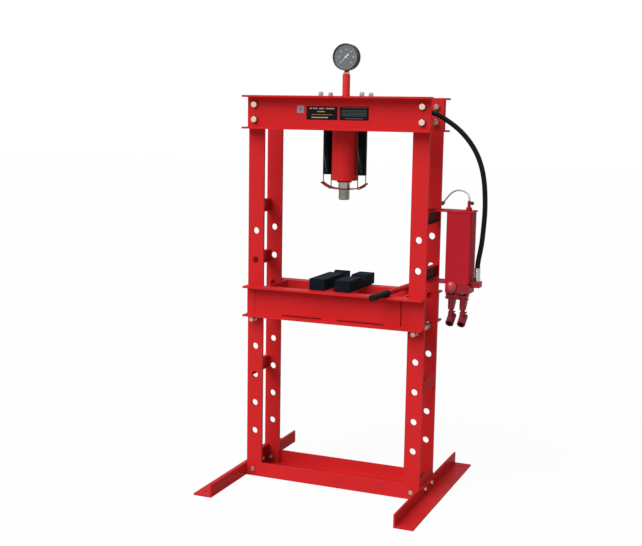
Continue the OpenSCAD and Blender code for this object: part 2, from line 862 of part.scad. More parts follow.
// Closed spring body with a ring at the top and a square wire loop at the bottom, which holds
// the yoke strap from below
module right_spring() {
    near = spring_x - loop_reach;
    far = spring_x + loop_reach;
    strap_bulge = pow(far - near, 2) / (8 * yoke_bend_r);
    loop_gap = spring_wire / 2 + strap_bulge + 1.2;
    near_z = yoke_low_z + yoke_rise(near) - loop_gap;
    far_z = yoke_low_z + yoke_rise(far) - loop_gap;
    slope = atan((far_z - near_z) / (far - near));
    slant = norm([far_z - near_z, far - near]);
    translate([spring_x, 0, spring_low_z])
        ring(spring_d, spring_d - 2 * spring_wire - 1.2, spring_coil_top_z - spring_low_z);
    translate([spring_x, 0, spring_coil_top_z - spring_wire]) cylinder(d = spring_d, h = spring_wire);
    translate([spring_x, 0, spring_ring_z]) along_y()
        rotate_extrude() translate([spring_ring_r, 0]) circle(d = spring_wire);
    translate([near, 0, near_z]) cylinder(d = spring_wire, h = spring_low_z - near_z + 1);
    translate([far, 0, far_z]) cylinder(d = spring_wire, h = spring_low_z - far_z + 1);
    translate([near, 0, near_z]) rotate([0, 90 - slope, 0])
        translate([0, 0, -spring_wire / 2]) cylinder(d = spring_wire + 0.4, h = slant + spring_wire);
}

// ---- Gauge ----

module gauge_pipe() {
    color(red) translate([0, 0, barrel_top_z])
        ring(gauge_pipe_d, gauge_pipe_bore, pipe_top_z - barrel_top_z);
}

module gauge_adapter() {
    spigot_l = 12;
    color(brass) {
        translate([0, 0, pipe_top_z]) cylinder(d = adapter_d, h = adapter_h);
        translate([0, 0, pipe_top_z - spigot_l]) cylinder(d = gauge_pipe_bore, h = spigot_l + eps);
    }
}

// Case with its rim and the socket block at the bottom
module gauge_case() {
    block_w = 16;
    color(black) {
        translate([0, 0, gauge_z]) along_y() {
            translate([0, 0, gauge_front_y]) ring(gauge_d, 2 * gauge_inner_r, gauge_depth);
            translate([0, 0, -gauge_front_y - gauge_wall]) cylinder(d = gauge_d, h = gauge_wall);
            translate([0, 0, gauge_front_y - bezel_h + 1])
                ring(gauge_d + 2 * bezel_over, gauge_d - 2 * bezel_lip, bezel_h - 1);
            translate([0, 0, gauge_front_y]) ring(gauge_d + 2 * bezel_over, gauge_d - eps, 2);
        }
        translate([-block_w / 2, -block_w / 2 + 4, adapter_top_z])
            cube([block_w, block_w, gauge_stem_h + 10]);
    }
}

module gauge_glass() {
    color(pale, 0.35) translate([0, gauge_front_y, gauge_z]) along_y()
        cylinder(r = gauge_inner_r, h = 2);
}

module gauge_dial() {
    color("#3E464B") translate([0, dial_y, gauge_z]) along_y()
        ring(2 * gauge_inner_r, needle_shaft_d + 2 * running_gap, 1);
}

// Needle at its zero mark, towards the lower left
module gauge_needle() {
    color("white") translate([0, 0, gauge_z]) rotate([0, -needle_sweep / 2, 0]) {
        translate([0, dial_y - 2.2, 0]) along_y() cylinder(d = 9, h = 1.2);
        translate([0, dial_y - 2.2, 0]) along_y() cylinder(d = needle_shaft_d, h = 8);
        translate([0, dial_y - 1, 0]) rotate([90, 0, 0]) linear_extrude(1.2)
            polygon([
                [-2, -needle_tail], [2, -needle_tail], [1.6, 0],
                [0.5, needle_l], [-0.5, needle_l], [-1.6, 0]
            ]);
    }
}

// C-shaped tube inside the case; its open end stands on the socket block
module bourdon_tube() {
    tube_d = 7;
    coil_r = 34;
    y = 6;
    block_top_z = adapter_top_z + gauge_stem_h + 10;
    coil_x = 0;
    color(brass) {
        translate([coil_x, y, gauge_z]) along_y() rotate([0, 0, 90])
            rotate_extrude(angle = 250) translate([coil_r, 0]) circle(d = tube_d);
        translate([0, y, block_top_z]) cylinder(d = tube_d, h = gauge_z - coil_r - block_top_z);
    }
}

// ---- Hoses ----

module hydraulic_hose() {
    color(black) tube_along(HOSE_ROUTE, hose_d, 12);
}

// Fitting along +Z: spigot below z = 0, hexagon, then the ferrule that ends on the hose
module hose_fitting(spigot_d, spigot_l, l) {
    hex_h = 16;
    translate([0, 0, -spigot_l]) cylinder(d = spigot_d, h = spigot_l + eps);
    hexagon(24, hex_h);
    translate([0, 0, hex_h - eps]) cylinder(d = hose_d + 4, h = l - hex_h + eps);
}

module hose_fitting_cylinder() {
    reach = norm([HOSE_ROUTE[0][0], HOSE_ROUTE[0][1]]);
    start = barrel_r + 0.2;
    color(zinc) translate([0, 0, port_z]) rotate([0, 90, port_turn])
        translate([0, 0, start]) hose_fitting(port_d, barrel_r - bore_r, reach - start);
}

module hose_fitting_pump() {
    hose_end = HOSE_ROUTE[len(HOSE_ROUTE) - 1];
    color(zinc) translate([hose_x, 0, manifold_top_z])
        hose_fitting(port_d, 10, hose_end[2] - manifold_top_z);
}

// ---- Pump ----

module bracket_plate(out_x, low_z) {
    block_between([bracket_in_x, -bracket_w / 2, low_z], [out_x, bracket_w / 2, low_z + bracket_t]);
}

module pump_bracket_top() {
    color(deep_red) difference() {
        bracket_plate(bracket_top_out_x, tank_top_z);
        translate([vent_x, 0, tank_top_z - eps]) cylinder(d = vent_body_d, h = bracket_t + 2 * eps);
    }
}

module pump_bracket_bottom() {
    color(deep_red) bracket_plate(bracket_low_out_x, bracket_low_z);
}

// Upright box with round corners
module round_box(w, d, r, h) {
    for (sx = side_signs, sy = side_signs)
        translate([sx * (w / 2 - r), sy * (d / 2 - r), 0]) cylinder(r = r, h = h);
    translate([-w / 2 + r, -d / 2, 0]) cube([w - 2 * r, d, h]);
    translate([-w / 2, -d / 2 + r, 0]) cube([w, d - 2 * r, h]);
}

module tank() {
    color(deep_red) translate([tank_mid_x, 0, tank_z]) difference() {
        round_box(tank_w, tank_d, tank_corner, tank_h);
        translate([0, 0, tank_t])
            round_box(tank_w - 2 * tank_t, tank_d - 2 * tank_t, tank_corner - tank_t, tank_h - 2 * tank_t);
        translate([vent_x - tank_mid_x, 0, tank_h - 2 * tank_t]) cylinder(d = vent_body_d, h = 4 * tank_t);
    }
}

module vent_valve() {
    color(deep_red) difference() {
        translate([vent_x, 0, 0]) {
            translate([0, 0, tank_top_z - 6]) cylinder(d = vent_body_d, h = bracket_t + 6 + eps);
            translate([0, 0, bracket_top_z]) cylinder(d = vent_boss_d, h = vent_boss_h);
            translate([0, 0, bracket_top_z + vent_boss_h - eps])
                cylinder(d = vent_body_d, h = vent_body_h + eps);
        }
        translate([vent_x, 0, vent_knob_z]) along_x() cylinder(d = 5, h = vent_body_d);
    }
}

module vent_knob() {
    color(black) translate([vent_x, 0, vent_knob_z]) along_x() {
        translate([0, 0, 2]) cylinder(d = 5 - 2 * running_gap, h = vent_body_d);
        translate([0, 0, vent_body_d / 2 + 1]) cylinder(d = 14, h = 10);
    }
}

module vent_tube() {
    color(pale) tube_along(VENT_ROUTE, vent_tube_d, 8);
}

// Pad on the rear post's edge with a collar around the end of the vent tube
module vent_tube_clip() {
    last = len(VENT_ROUTE) - 1;
    end = VENT_ROUTE[last];
    way = route_way(VENT_ROUTE, last);
    collar_l = 9;
    pad = 16;
    pad_y = post_y_out - post_t / 2;
    color(black) difference() {
        union() {
            block_between([post_x_out, pad_y - post_t / 2, end[2] - pad / 2],
                          [end[0] + 3, pad_y + post_t / 2, end[2] + pad / 2]);
            translate(end) rotate([0, acos(-way[2]), atan2(-way[1], -way[0])])
                cylinder(d = vent_tube_d + 6, h = collar_l);
        }
        tube_along_end(VENT_ROUTE);
    }
}

// Straight cut for the last stretch of the vent tube
module tube_along_end(p) {
    last = len(p) - 1;
    way = route_way(p, last);
    translate(p[last]) rotate([0, acos(-way[2]), atan2(-way[1], -way[0])])
        cylinder(d = vent_tube_d + 0.6, h = 40);
}

// Body with three lugs for the lever pivot, two blind bores and the outlet block
module pump_body() {
    color(deep_red) difference() {
        union() {
            block_between([pump_x, pump_front_y, pump_low_z], [pump_x + pump_l, pump_rear_y, pump_top_z]);
            block_between([pump_x + pump_l - eps, manifold_front_y, manifold_low_z],
                          [pump_x + pump_l + manifold_l, manifold_rear_y, manifold_top_z]);
            pump_lug(pump_x, low_x - lever_half - lug_gap);
            pump_lug(low_x + lever_half + lug_gap, high_x - lever_half - lug_gap);
            pump_lug(high_x + lever_half + lug_gap, pump_lug_end);
        }
        translate([pump_x - eps, pivot_y, pivot_z]) along_x() cylinder(d = pivot_d, h = pump_l + 2 * eps);
        translate([low_x, plunger_y, pump_low_z - eps])
            cylinder(d = low_plunger_d + 2 * running_gap, h = plunger_bore_top_z - pump_low_z + eps);
        translate([high_x, plunger_y, pump_low_z - eps])
            cylinder(d = high_plunger_d + 2 * running_gap, h = plunger_bore_top_z - pump_low_z + eps);
        translate([hose_x, 0, manifold_top_z - 10]) cylinder(d = port_d, h = 10 + eps);
        translate([release_x, pump_front_y - eps, release_z]) along_y()
            cylinder(d = 8, h = 20 + eps);
    }
}

module pump_lug(x0, x1) {
    translate([x0, pivot_y, pivot_z]) along_x() cylinder(d = pump_lug_d, h = x1 - x0);
    block_between([x0, pivot_y - pump_lug_d / 2, pivot_z], [x1, pivot_y + pump_lug_d / 2, pump_low_z + eps]);
}

// Plunger with its cross pin, which slides in the lever's slots
module plunger(x, d) {
    neck = min(d, 12);
    color(pale) {
        translate([x, plunger_y, neck_low_z]) cylinder(d = d, h = plunger_top_z - neck_low_z);
        translate([x, plunger_y, cross_pin_z - 5]) cylinder(d = neck, h = neck_low_z - cross_pin_z + 5 + eps);
        translate([x - lever_half, plunger_y, cross_pin_z]) along_x()
            cylinder(d = cross_pin_d, h = 2 * lever_half);
    }
}

// Cheek outline in the Y-Z plane, seen with Y to the right, from the pivot
module cheek_outline() {
    slot_in = crank - 3.5;
    slot_out = crank / cos(lever_up - swing_mid) + 3.5;
    half = slot_d / 2 + cheek_edge;
    difference() {
        union() {
            circle(d = hub_d);
            rotate(swing_mid) translate([0, -half]) square([slot_out + cheek_edge, 2 * half]);
            polygon([
                [-lever_d / 2 + 1, 0], [slot_out - 2, 2], [slot_out + 1, -26],
                [3, -gusset_drop], [-lever_d / 2 + 1, -gusset_drop]
            ]);
        }
        rotate(swing_mid) {
            translate([slot_in, -slot_d / 2]) square([slot_out - slot_in, slot_d]);
            translate([slot_in, 0]) circle(d = slot_d);
            translate([slot_out, 0]) circle(d = slot_d);
        }
    }
}

module cheek(x) {
    translate([x, pivot_y, pivot_z]) rotate([90, 0, 90]) linear_extrude(cheek_t) cheek_outline();
}

module pump_lever(x) {
    collar_d = lever_d + 6;
    collar_z = socket_z + 25;
    color(deep_red) difference() {
        union() {
            cheek(x - lever_half);
            cheek(x + lever_half - cheek_t);
            translate([x - lever_half, pivot_y, pivot_z]) along_x() cylinder(d = hub_d, h = 2 * lever_half);
            translate([x, pivot_y, socket_z]) cylinder(d = lever_d, h = lever_drop - 6);
            translate([x, pivot_y, pivot_z - gusset_drop]) cylinder(d = 2 * lever_half - 1, h = 12);
            translate([x, pivot_y, collar_z - 8]) cylinder(d = collar_d, h = 16);
            translate([x, pivot_y, collar_z + 8]) along_x() cylinder(d = 6, h = 18);
            translate([x, pivot_y, socket_z]) rotate([90 + socket_tilt, 0, 0])
                translate([0, 0, -socket_l / 2]) cylinder(d = socket_d, h = socket_l);
        }
        translate([x - lever_half - eps, pivot_y, pivot_z]) along_x()
            cylinder(d = pivot_d + 2 * running_gap, h = 2 * (lever_half + eps));
        translate([x, pivot_y, socket_z]) rotate([90 + socket_tilt, 0, 0])
            translate([0, 0, socket_l / 2 - socket_bore_l])
                cylinder(d = socket_bore, h = socket_bore_l + eps);
    }
}

module lever_pivot_pin() {
    head_t = 4;
    color(zinc) translate([pump_x, pivot_y, pivot_z]) along_x() {
        translate([0, 0, -head_t]) cylinder(d = pivot_d + 5, h = head_t);
        translate([0, 0, -head_t]) cylinder(d = pivot_d, h = pump_lug_end - pump_x + head_t + 1);
    }
}

// Domed knob on a stem in the front face of the pump body
module release_knob() {
    stem_d = 8 - 2 * running_gap;
    knob_t = 0.38 * release_d;
    face_y = pump_front_y - 1;
    color(red) translate([release_x, 0, release_z]) {
        translate([0, face_y - 1, 0]) along_y() cylinder(d = stem_d, h = 18);
        intersection() {
            translate([0, face_y - knob_t, 0]) along_y() cylinder(d = release_d, h = knob_t);
            translate([0, face_y + release_d * 0.25, 0]) sphere(r = release_d * 0.62);
        }
    }
}

color(red) post(-1, -1);  // post_front_left
color(red) post(1, -1);  // post_front_right
color(red) post(-1, 1);  // post_rear_left
color(red) post(1, 1);  // post_rear_right
color(red) mirror([0, 1, 0]) head_beam();  // head_beam_front
color(red) head_beam();  // head_beam_rear
head_top_plate();
cylinder_mount_plate();
top_plate_bolts();
frame_bolts();
frame_nuts();
frame_washers();
post_spacers();
base_spacers();
color(red) mirror([0, 1, 0]) rail();  // rail_front
color(red) rail();  // rail_rear
color(red) mirror([1, 0, 0]) foot();  // foot_left
color(red) foot();  // foot_right
head_plates();
color(red) mirror([0, 1, 0]) bed_channel();  // bed_channel_front
color(red) bed_channel();  // bed_channel_rear
bed_end_plates();
bed_pin(-1);  // bed_pin_left
bed_pin(1);  // bed_pin_right
press_block(block_left_x, left_notch_y);  // press_block_left
press_block(block_right_x, right_notch_y);  // press_block_right
pump_handle_rod();
pump_handle_grip();
cylinder_barrel();
cylinder_gland();
ram();
piston_seal();
ram_tip();
yoke();
color(black) mirror([1, 0, 0]) right_spring();  // spring_left
color(black) right_spring();  // spring_right
gauge_pipe();
gauge_adapter();
gauge_case();
gauge_dial();
gauge_glass();
gauge_needle();
bourdon_tube();
hydraulic_hose();
hose_fitting_cylinder();
hose_fitting_pump();
pump_bracket_top();
pump_bracket_bottom();
tank();
vent_valve();
vent_knob();
vent_tube();
vent_tube_clip();
pump_body();
plunger(low_x, low_plunger_d);  // plunger_low
plunger(high_x, high_plunger_d);  // plunger_high
pump_lever(low_x);  // lever_low
pump_lever(high_x);  // lever_high
lever_pivot_pin();
release_knob();
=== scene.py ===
# %% [markdown]
# # A floor-standing hydraulic press
#
# The press is a red steel frame with a hand pump at its side. The frame, its sizes and the way it
# moves come from the CAD model; this lesson adds what the eye needs: a camera, light, the hose and
# the vent tube as they really hang, rounded edges, coils, threads, welds, marks on the gauge and
# painted, plated and moulded surfaces.

# %% The frame that everything hangs on
import json
import bpy
import bmesh
import numpy as np
from mathutils import Matrix

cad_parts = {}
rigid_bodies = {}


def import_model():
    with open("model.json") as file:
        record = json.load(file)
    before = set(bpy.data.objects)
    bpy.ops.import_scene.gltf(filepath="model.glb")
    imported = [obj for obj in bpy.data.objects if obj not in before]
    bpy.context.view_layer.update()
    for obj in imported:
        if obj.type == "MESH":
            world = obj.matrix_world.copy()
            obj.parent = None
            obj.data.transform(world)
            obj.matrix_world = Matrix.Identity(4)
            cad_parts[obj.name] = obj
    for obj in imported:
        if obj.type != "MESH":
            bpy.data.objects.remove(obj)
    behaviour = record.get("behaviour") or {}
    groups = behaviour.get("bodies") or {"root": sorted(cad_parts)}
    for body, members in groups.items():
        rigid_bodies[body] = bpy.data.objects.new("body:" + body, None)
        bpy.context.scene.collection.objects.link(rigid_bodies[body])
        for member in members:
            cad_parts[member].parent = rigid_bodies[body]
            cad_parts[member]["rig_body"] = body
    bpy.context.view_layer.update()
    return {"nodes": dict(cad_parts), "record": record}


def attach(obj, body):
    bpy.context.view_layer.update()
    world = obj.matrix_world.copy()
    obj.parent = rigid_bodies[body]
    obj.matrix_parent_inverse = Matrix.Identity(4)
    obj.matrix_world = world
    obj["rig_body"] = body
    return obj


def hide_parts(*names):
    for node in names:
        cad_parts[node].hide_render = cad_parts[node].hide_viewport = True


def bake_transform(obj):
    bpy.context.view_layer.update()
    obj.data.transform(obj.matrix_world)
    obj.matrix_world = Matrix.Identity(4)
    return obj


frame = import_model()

MM = 0.001
slot_of = {part["node"]: part["material_slot"] for part in frame["record"]["subparts"]}

# %% [markdown]
# ## Camera
#
# A camera can be turned with Euler angles or given its axes. Here its three axes are worked out
# from yaw, pitch and roll, because a small roll then doesn't disturb the other two. It stands at
# the press's right front, at eye height.


# %% Objects and where they stand
def new_object(name, data):
    """A new object in the scene, at the origin."""
    made = bpy.data.objects.new(name, data)
    bpy.context.scene.collection.objects.link(made)
    return made


def stand(thing, where, axes):
    """Puts an object at a point in metres, with its own X, Y and Z axes along the three given."""
    turn = Matrix(np.column_stack(axes).tolist()).to_4x4()
    thing.matrix_world = Matrix.Translation(where) @ turn


print("object makers ready")

# %% Camera
CAMERA_PLACE = (1.6438, -4.2621, 1.5743)
SENSOR_WIDTH, FOCAL_LENGTH = 36, 61.24  # millimetres
yaw, pitch, roll = np.radians([22.2338, 8.3101, -0.9587])
ahead = np.array([-np.sin(yaw) * np.cos(pitch), np.cos(yaw) * np.cos(pitch), -np.sin(pitch)])
level = np.array([np.cos(yaw), np.sin(yaw), 0.0])
upward = np.cross(level, ahead)
right = level * np.cos(roll) - upward * np.sin(roll)
top = level * np.sin(roll) + upward * np.cos(roll)
camera = new_object("camera", bpy.data.cameras.new("camera"))
stand(camera, CAMERA_PLACE, [right, top, -ahead])
camera.data.sensor_width, camera.data.lens = SENSOR_WIDTH, FOCAL_LENGTH
bpy.context.scene.camera = camera
bpy.context.scene.view_settings.view_transform = "Standard"
print("camera looks along", np.round(ahead, 3).tolist())

# %% [markdown]
# ## Nodes and colours
#
# Every finish is a small graph of shader nodes. One function adds a node, sets its properties and
# fills or links its sockets; one function turns an sRGB colour code into the linear numbers that
# the renderer works with; and one clears the graph that a new material or world comes with.


# %% Helpers for finishes
def linear(code):
    """Each channel c: c / 12.92 below 0.04045, else ((c + 0.055) / 1.055) to the power 2.4."""
    c = np.array([int(code[i:i + 2], 16) for i in (1, 3, 5)]) / 255
    return (*np.where(c <= 0.04045, c / 12.92, ((c + 0.055) / 1.055) ** 2.4).tolist(), 1.0)


def add(tree, kind, sockets=None, **settings):
    """One node: settings are its own properties, sockets are values or links."""
    node = tree.nodes.new("ShaderNode" + kind)
    for name, value in settings.items():
        setattr(node, name, value)
    for key, value in (sockets or {}).items():
        if isinstance(value, bpy.types.NodeSocket):
            tree.links.new(value, node.inputs[key])
        else:
            node.inputs[key].default_value = value
    return node


def empty_tree(owner):
    """The cleared node graph of a material or a world."""
    owner.use_nodes = True
    owner.node_tree.nodes.clear()
    return owner.node_tree


print("enamel red in linear light:", np.round(linear("#D91E1E"), 3).tolist())

# %% [markdown]
# ## Floor and light
#
# A studio shows a machine on a plain white sweep. The floor and the world are white only to the
# rays that come from the camera, from gloss and through glass, so the surroundings look white
# while the light on the press stays plain: one broad lamp from the upper left front, and a weak
# even light from everywhere.

# %% White to the eye
WHITE = (1, 1, 1, 1)


def seen(tree):
    """1 for rays from the camera, from gloss and through glass, and 0 for all others."""
    ray = add(tree, "LightPath").outputs
    direct = add(tree, "Math", {0: ray["Is Camera Ray"], 1: ray["Is Glossy Ray"]},
                 operation="MAXIMUM").outputs[0]
    return add(tree, "Math", {0: direct, 1: ray["Is Transmission Ray"]},
               operation="MAXIMUM").outputs[0]


print("white in linear light:", WHITE)

# %% World
SOFT_LIGHT = 0.26
world = bpy.data.worlds.new("studio")
bpy.context.scene.world = world
tree = empty_tree(world)
to_the_eye = seen(tree)
soft = add(tree, "Background", {"Color": linear("#F4F4F6"), "Strength": SOFT_LIGHT})
white = add(tree, "Background", {"Color": WHITE, "Strength": 1.0})
mixed = add(tree, "MixShader", {0: to_the_eye, 1: soft.outputs[0], 2: white.outputs[0]})
add(tree, "OutputWorld", {0: mixed.outputs[0]})
print("world: soft light", SOFT_LIGHT, "and a white background")

# %% Floor
REACH = 30  # metres from the middle to each edge
GLOW = 0.94  # the share of its white that the floor gives off by itself
floor_finish = bpy.data.materials.new("white painted floor")
tree = empty_tree(floor_finish)
to_the_eye = seen(tree)
matt = add(tree, "BsdfDiffuse", {"Color": linear("#C8C8C8")})
white_matt = add(tree, "BsdfDiffuse", {"Color": WHITE})
glow = add(tree, "Emission", {"Color": WHITE, "Strength": 1.0})
bright = add(tree, "MixShader", {0: GLOW, 1: white_matt.outputs[0], 2: glow.outputs[0]})
mixed = add(tree, "MixShader", {0: to_the_eye, 1: matt.outputs[0], 2: bright.outputs[0]})
add(tree, "OutputMaterial", {0: mixed.outputs[0]})
floor_mesh = bpy.data.meshes.new("floor")
corners = [(x * REACH, y * REACH, 0) for x, y in ((-1, -1), (1, -1), (1, 1), (-1, 1))]
floor_mesh.from_pydata(corners, [], [(0, 1, 2, 3)])
floor_mesh.materials.append(floor_finish)
floor = new_object("floor", floor_mesh)
print("floor at height 0")

# %% Lamp
LAMP_PLACE, LAMP_TARGET = np.array([-1.6, -4.0, 5.2]), np.array([0, 0, 0.9])
key = bpy.data.lights.new("broad key", "SUN")
key.energy, key.angle = 2.85, np.radians(55)
way = LAMP_TARGET - LAMP_PLACE
side = np.cross(way, [0, 0, 1.0])
axes = [v / np.linalg.norm(v) for v in (side, np.cross(side, way), -way)]
stand(new_object("broad key", key), LAMP_PLACE.tolist(), axes)

# %% [markdown]
# ## Shapes from formulas
#
# The new pieces are surfaces on a grid of two parameters. A profile turned about an axis makes
# bolts, knobs and sleeves; a circle carried along a path makes hoses, coils and weld beads. All of
# them return their points in millimetres with their faces, so that several can join into one mesh.

# %% Grid faces and axes
X_AXIS, Y_AXIS, Z_AXIS = (1, 0, 0), (0, 1, 0), (0, 0, 1)


def grid_faces(rows, columns, ring=False):
    """Quads of a grid whose columns close on themselves. Without ring, both end rows get a cap."""
    index = np.arange(rows * columns).reshape(rows, columns)
    upper = np.roll(index, -1, 0) if ring else index[1:]
    lower = index if ring else index[:-1]
    quads = np.stack([lower, np.roll(lower, -1, 1), np.roll(upper, -1, 1), upper], -1)
    caps = [] if ring else [index[0][::-1].tolist(), index[-1].tolist()]
    return quads.reshape(-1, 4).tolist() + caps


def square_axes(axis):
    """The unit axis and two unit directions square to it and to each other."""
    a = np.array(axis, float) / np.linalg.norm(axis)
    side = np.cross(a, [0, 1, 0] if abs(a[1]) < 0.9 else [0, 0, 1])
    side = side / np.linalg.norm(side)
    return a, side, np.cross(a, side)


def full_turn(count):
    """Angles from 0 towards 2 pi in count equal steps."""
    return np.arange(count) * 2 * np.pi / count


def spokes(u, side, other):
    """cos u * side + sin u * other, for every angle in u."""
    return np.cos(u)[:, None] * side + np.sin(u)[:, None] * other


print("first side of a box:", grid_faces(2, 4)[0])


# %% Turned and swept shapes
def turned(profile, centre=(0, 0, 0), axis=Z_AXIS, sides=48, ring=False):
    """point = centre + height * axis + radius * (cos u * side + sin u * other), for the
    (radius, height) pairs of the profile."""
    radius, height = np.array(profile, float).T
    a, side, other = square_axes(axis)
    circle = spokes(full_turn(sides), side, other)
    points = np.array(centre, float) + height[:, None, None] * a + radius[:, None, None] * circle
    return points.reshape(-1, 3), grid_faces(len(radius), sides, ring)


def swept(route, radius, sides, up=Y_AXIS, ring=False):
    """point = route(s) + radius(s) * (cos u * side(s) + sin u * other(s)), with side and other
    square to the way at s."""
    route = np.array(route, float)
    way = np.roll(route, -1, 0) - np.roll(route, 1, 0) if ring else np.gradient(route, axis=0)
    way = way / np.linalg.norm(way, axis=1)[:, None]
    side = np.cross(way, up)
    side = side / np.linalg.norm(side, axis=1)[:, None]
    other = np.cross(side, way)
    u = full_turn(sides)[:, None]
    circle = np.cos(u) * side[:, None] + np.sin(u) * other[:, None]
    points = route[:, None] + np.broadcast_to(radius, len(route))[:, None, None] * circle
    return points.reshape(-1, 3), grid_faces(len(route), sides, ring)


print("turned and swept shapes ready")


# %% Hexagons and boxes
def hexagonal(centre, axis, across, height, turn=0.0):
    """radius = the smaller of the hexagon's, half its width over the cosine of the angle from the
    nearest flat's middle, and a cone that cuts the corners near both ends. The whole is turned
    by turn degrees."""
    sides, rim = 48, 0.06 * across
    u = full_turn(sides)
    flat = across / 2 / np.cos((u + np.pi / 6) % (np.pi / 3) - np.pi / 6)
    z = np.array([0, rim / 2, rim, height - rim, height - rim / 2, height])
    cone = 0.48 * across + 1.7 * np.minimum(z, height - z)
    radius = np.minimum(flat[None, :], cone[:, None])
    a, side, other = square_axes(axis)
    circle = spokes(u + np.radians(turn), side, other)
    points = np.array(centre, float) + z[:, None, None] * a + radius[:, :, None] * circle
    return points.reshape(-1, 3), grid_faces(len(z), sides)


def slab(low, high, edge=0.5):
    """A box with chamfered edges: four rectangles up the Z axis, the first and the last drawn in
    by edge."""
    low, high = np.array(low, float), np.array(high, float)
    inset = np.array([edge, 0, 0, edge])[:, None]
    corner = np.array([[0, 0], [1, 0], [1, 1], [0, 1]])
    x = low[0] + inset + corner[:, 0] * (high[0] - low[0] - 2 * inset)
    y = low[1] + inset + corner[:, 1] * (high[1] - low[1] - 2 * inset)
    z = np.repeat([[low[2]], [low[2] + edge], [high[2] - edge], [high[2]]], 4, axis=1)
    return np.stack([x, y, z], -1).reshape(-1, 3), grid_faces(4, 4)


print("hexagons and boxes ready")


# %% Smooth routes
def smooth_route(points, step):
    """A natural cubic curve through the points, by the length along them, with a point every step
    mm. Second slopes m solve h0 m0 + 2 (h0 + h1) m1 + h1 m2 = 6 (d1 - d0)."""
    p = np.array(points, float)
    h = np.linalg.norm(np.diff(p, axis=0), axis=1)
    d = np.diff(p, axis=0) / h[:, None]
    n = len(p)
    system = np.eye(n)
    rows = np.arange(1, n - 1)
    system[rows, rows - 1], system[rows, rows + 1] = h[:-1], h[1:]
    system[rows, rows] = 2 * (h[:-1] + h[1:])
    m = np.linalg.solve(system, np.vstack([np.zeros(3), 6 * np.diff(d, axis=0), np.zeros(3)]))
    knots = np.concatenate([[0], np.cumsum(h)])
    t = np.linspace(0, knots[-1], int(knots[-1] / step) + 1)
    k = np.clip(np.searchsorted(knots, t, "right") - 1, 0, n - 2)
    a, b, w = (knots[k + 1] - t)[:, None], (t - knots[k])[:, None], h[k][:, None]
    return ((m[k] * a ** 3 + m[k + 1] * b ** 3) / (6 * w) + (p[k] / w - m[k] * w / 6) * a
            + (p[k + 1] / w - m[k + 1] * w / 6) * b)


def circle_points(centre, radius, axis=Z_AXIS, count=60):
    """Points of a circle about the axis."""
    a, side, other = square_axes(axis)
    return (np.array(centre, float) + radius * spokes(full_turn(count), side, other)).tolist()


print("points of a circle:", len(circle_points((0, 0, 0), 1)))

# %% Weld beads
# Real ripples lie closer; these are 4 mm apart, so that they show. Their rise is a share of the
# bead's radius, and a ring of points comes every 0.9 mm.
RIPPLE, RIPPLE_RISE, BEAD_STEP = 4, 0.16, 0.9


def weld(points, radius, ring=False, up=Y_AXIS):
    """A bead along the points: radius * (1 + RIPPLE_RISE * |sin(pi * length / RIPPLE)|)."""
    p = np.array(points + [points[0]] if ring else points, float)
    length = np.concatenate([[0], np.cumsum(np.linalg.norm(np.diff(p, axis=0), axis=1))])
    s = np.linspace(0, length[-1], int(length[-1] / BEAD_STEP) + 1)
    s = s[:-1] if ring else s
    line = np.stack([np.interp(s, length, p[:, i]) for i in range(3)], -1)
    ripples = np.abs(np.sin(np.pi * s / RIPPLE))
    return swept(line, radius * (1 + RIPPLE_RISE * ripples), 8, up, ring)


print("beads: a ripple every", RIPPLE, "mm")

# %% [markdown]
# ## Turning shapes into pieces
#
# `piece` joins shapes into one object with outward faces and lets it ride on its body, and `dress`
# makes one that stands for a CAD node. `soften` copies a CAD solid, merges its loose triangles and
# rounds every sharp edge with a bevel: real rolled and painted steel has no razor edges, and the
# round catches a thin line of light.

# %% Pieces
finishes = {}


def place(name, mesh, slot, body, replaced=(), finish=None, smooth=35):
    """The object at the origin, with its finish, its body and the CAD nodes that it stands for."""
    made = new_object(name, mesh)
    mesh.shade_smooth()
    mesh.set_sharp_from_angle(angle=np.radians(smooth))
    if body:
        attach(made, body)
    if replaced:
        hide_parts(*replaced)
    mesh.materials.clear()
    mesh.materials.append(finish or finishes[slot])
    return made


def piece(name, shapes, slot, body="frame", replaced=(), finish=None):
    """One object from several shapes, whose points are in millimetres."""
    starts = np.cumsum([0] + [len(points) for points, _ in shapes]).tolist()
    faces = [[i + start for i in face] for start, shape in zip(starts, shapes) for face in shape[1]]
    mesh = bpy.data.meshes.new(name)
    mesh.from_pydata((np.concatenate([points for points, _ in shapes]) * MM).tolist(), [], faces)
    work = bmesh.new()
    work.from_mesh(mesh)
    bmesh.ops.recalc_face_normals(work, faces=work.faces)
    work.to_mesh(mesh)
    work.free()
    return place(name, mesh, slot, body, replaced, finish)


def dress(node, name, shapes, finish=None):
    """A piece that stands for one CAD node, in its slot and on its body."""
    body = frame["nodes"][node]["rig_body"]
    return piece(name, shapes, slot_of[node], body, [node], finish)


print("piece makers ready")

# %% Softened copies of CAD solids
SAME_POINT = 2e-6  # metres within which corners of triangles are one point
FLAT, SHARP = np.radians(0.5), np.radians(32)  # flatter edges go, sharper ones are rounded


def soften(node, edge, finish=None):
    """A merged copy of a CAD node with its edges rounded by edge millimetres."""
    source = frame["nodes"][node]
    work = bmesh.new()
    work.from_mesh(source.data)
    bmesh.ops.remove_doubles(work, verts=work.verts, dist=SAME_POINT)
    bmesh.ops.dissolve_limit(work, angle_limit=FLAT, verts=work.verts, edges=work.edges)
    mesh = bpy.data.meshes.new(node + "_finished")
    work.to_mesh(mesh)
    work.free()
    made = place(node + "_finished", mesh, slot_of[node], source["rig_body"], [node], finish)
    bevel = made.modifiers.new("rounded edges", "BEVEL")
    bevel.width, bevel.segments, bevel.limit_method = edge * MM, 2, "ANGLE"
    bevel.angle_limit, bevel.harden_normals, bevel.miter_outer = SHARP, True, "MITER_ARC"


print("softener ready")

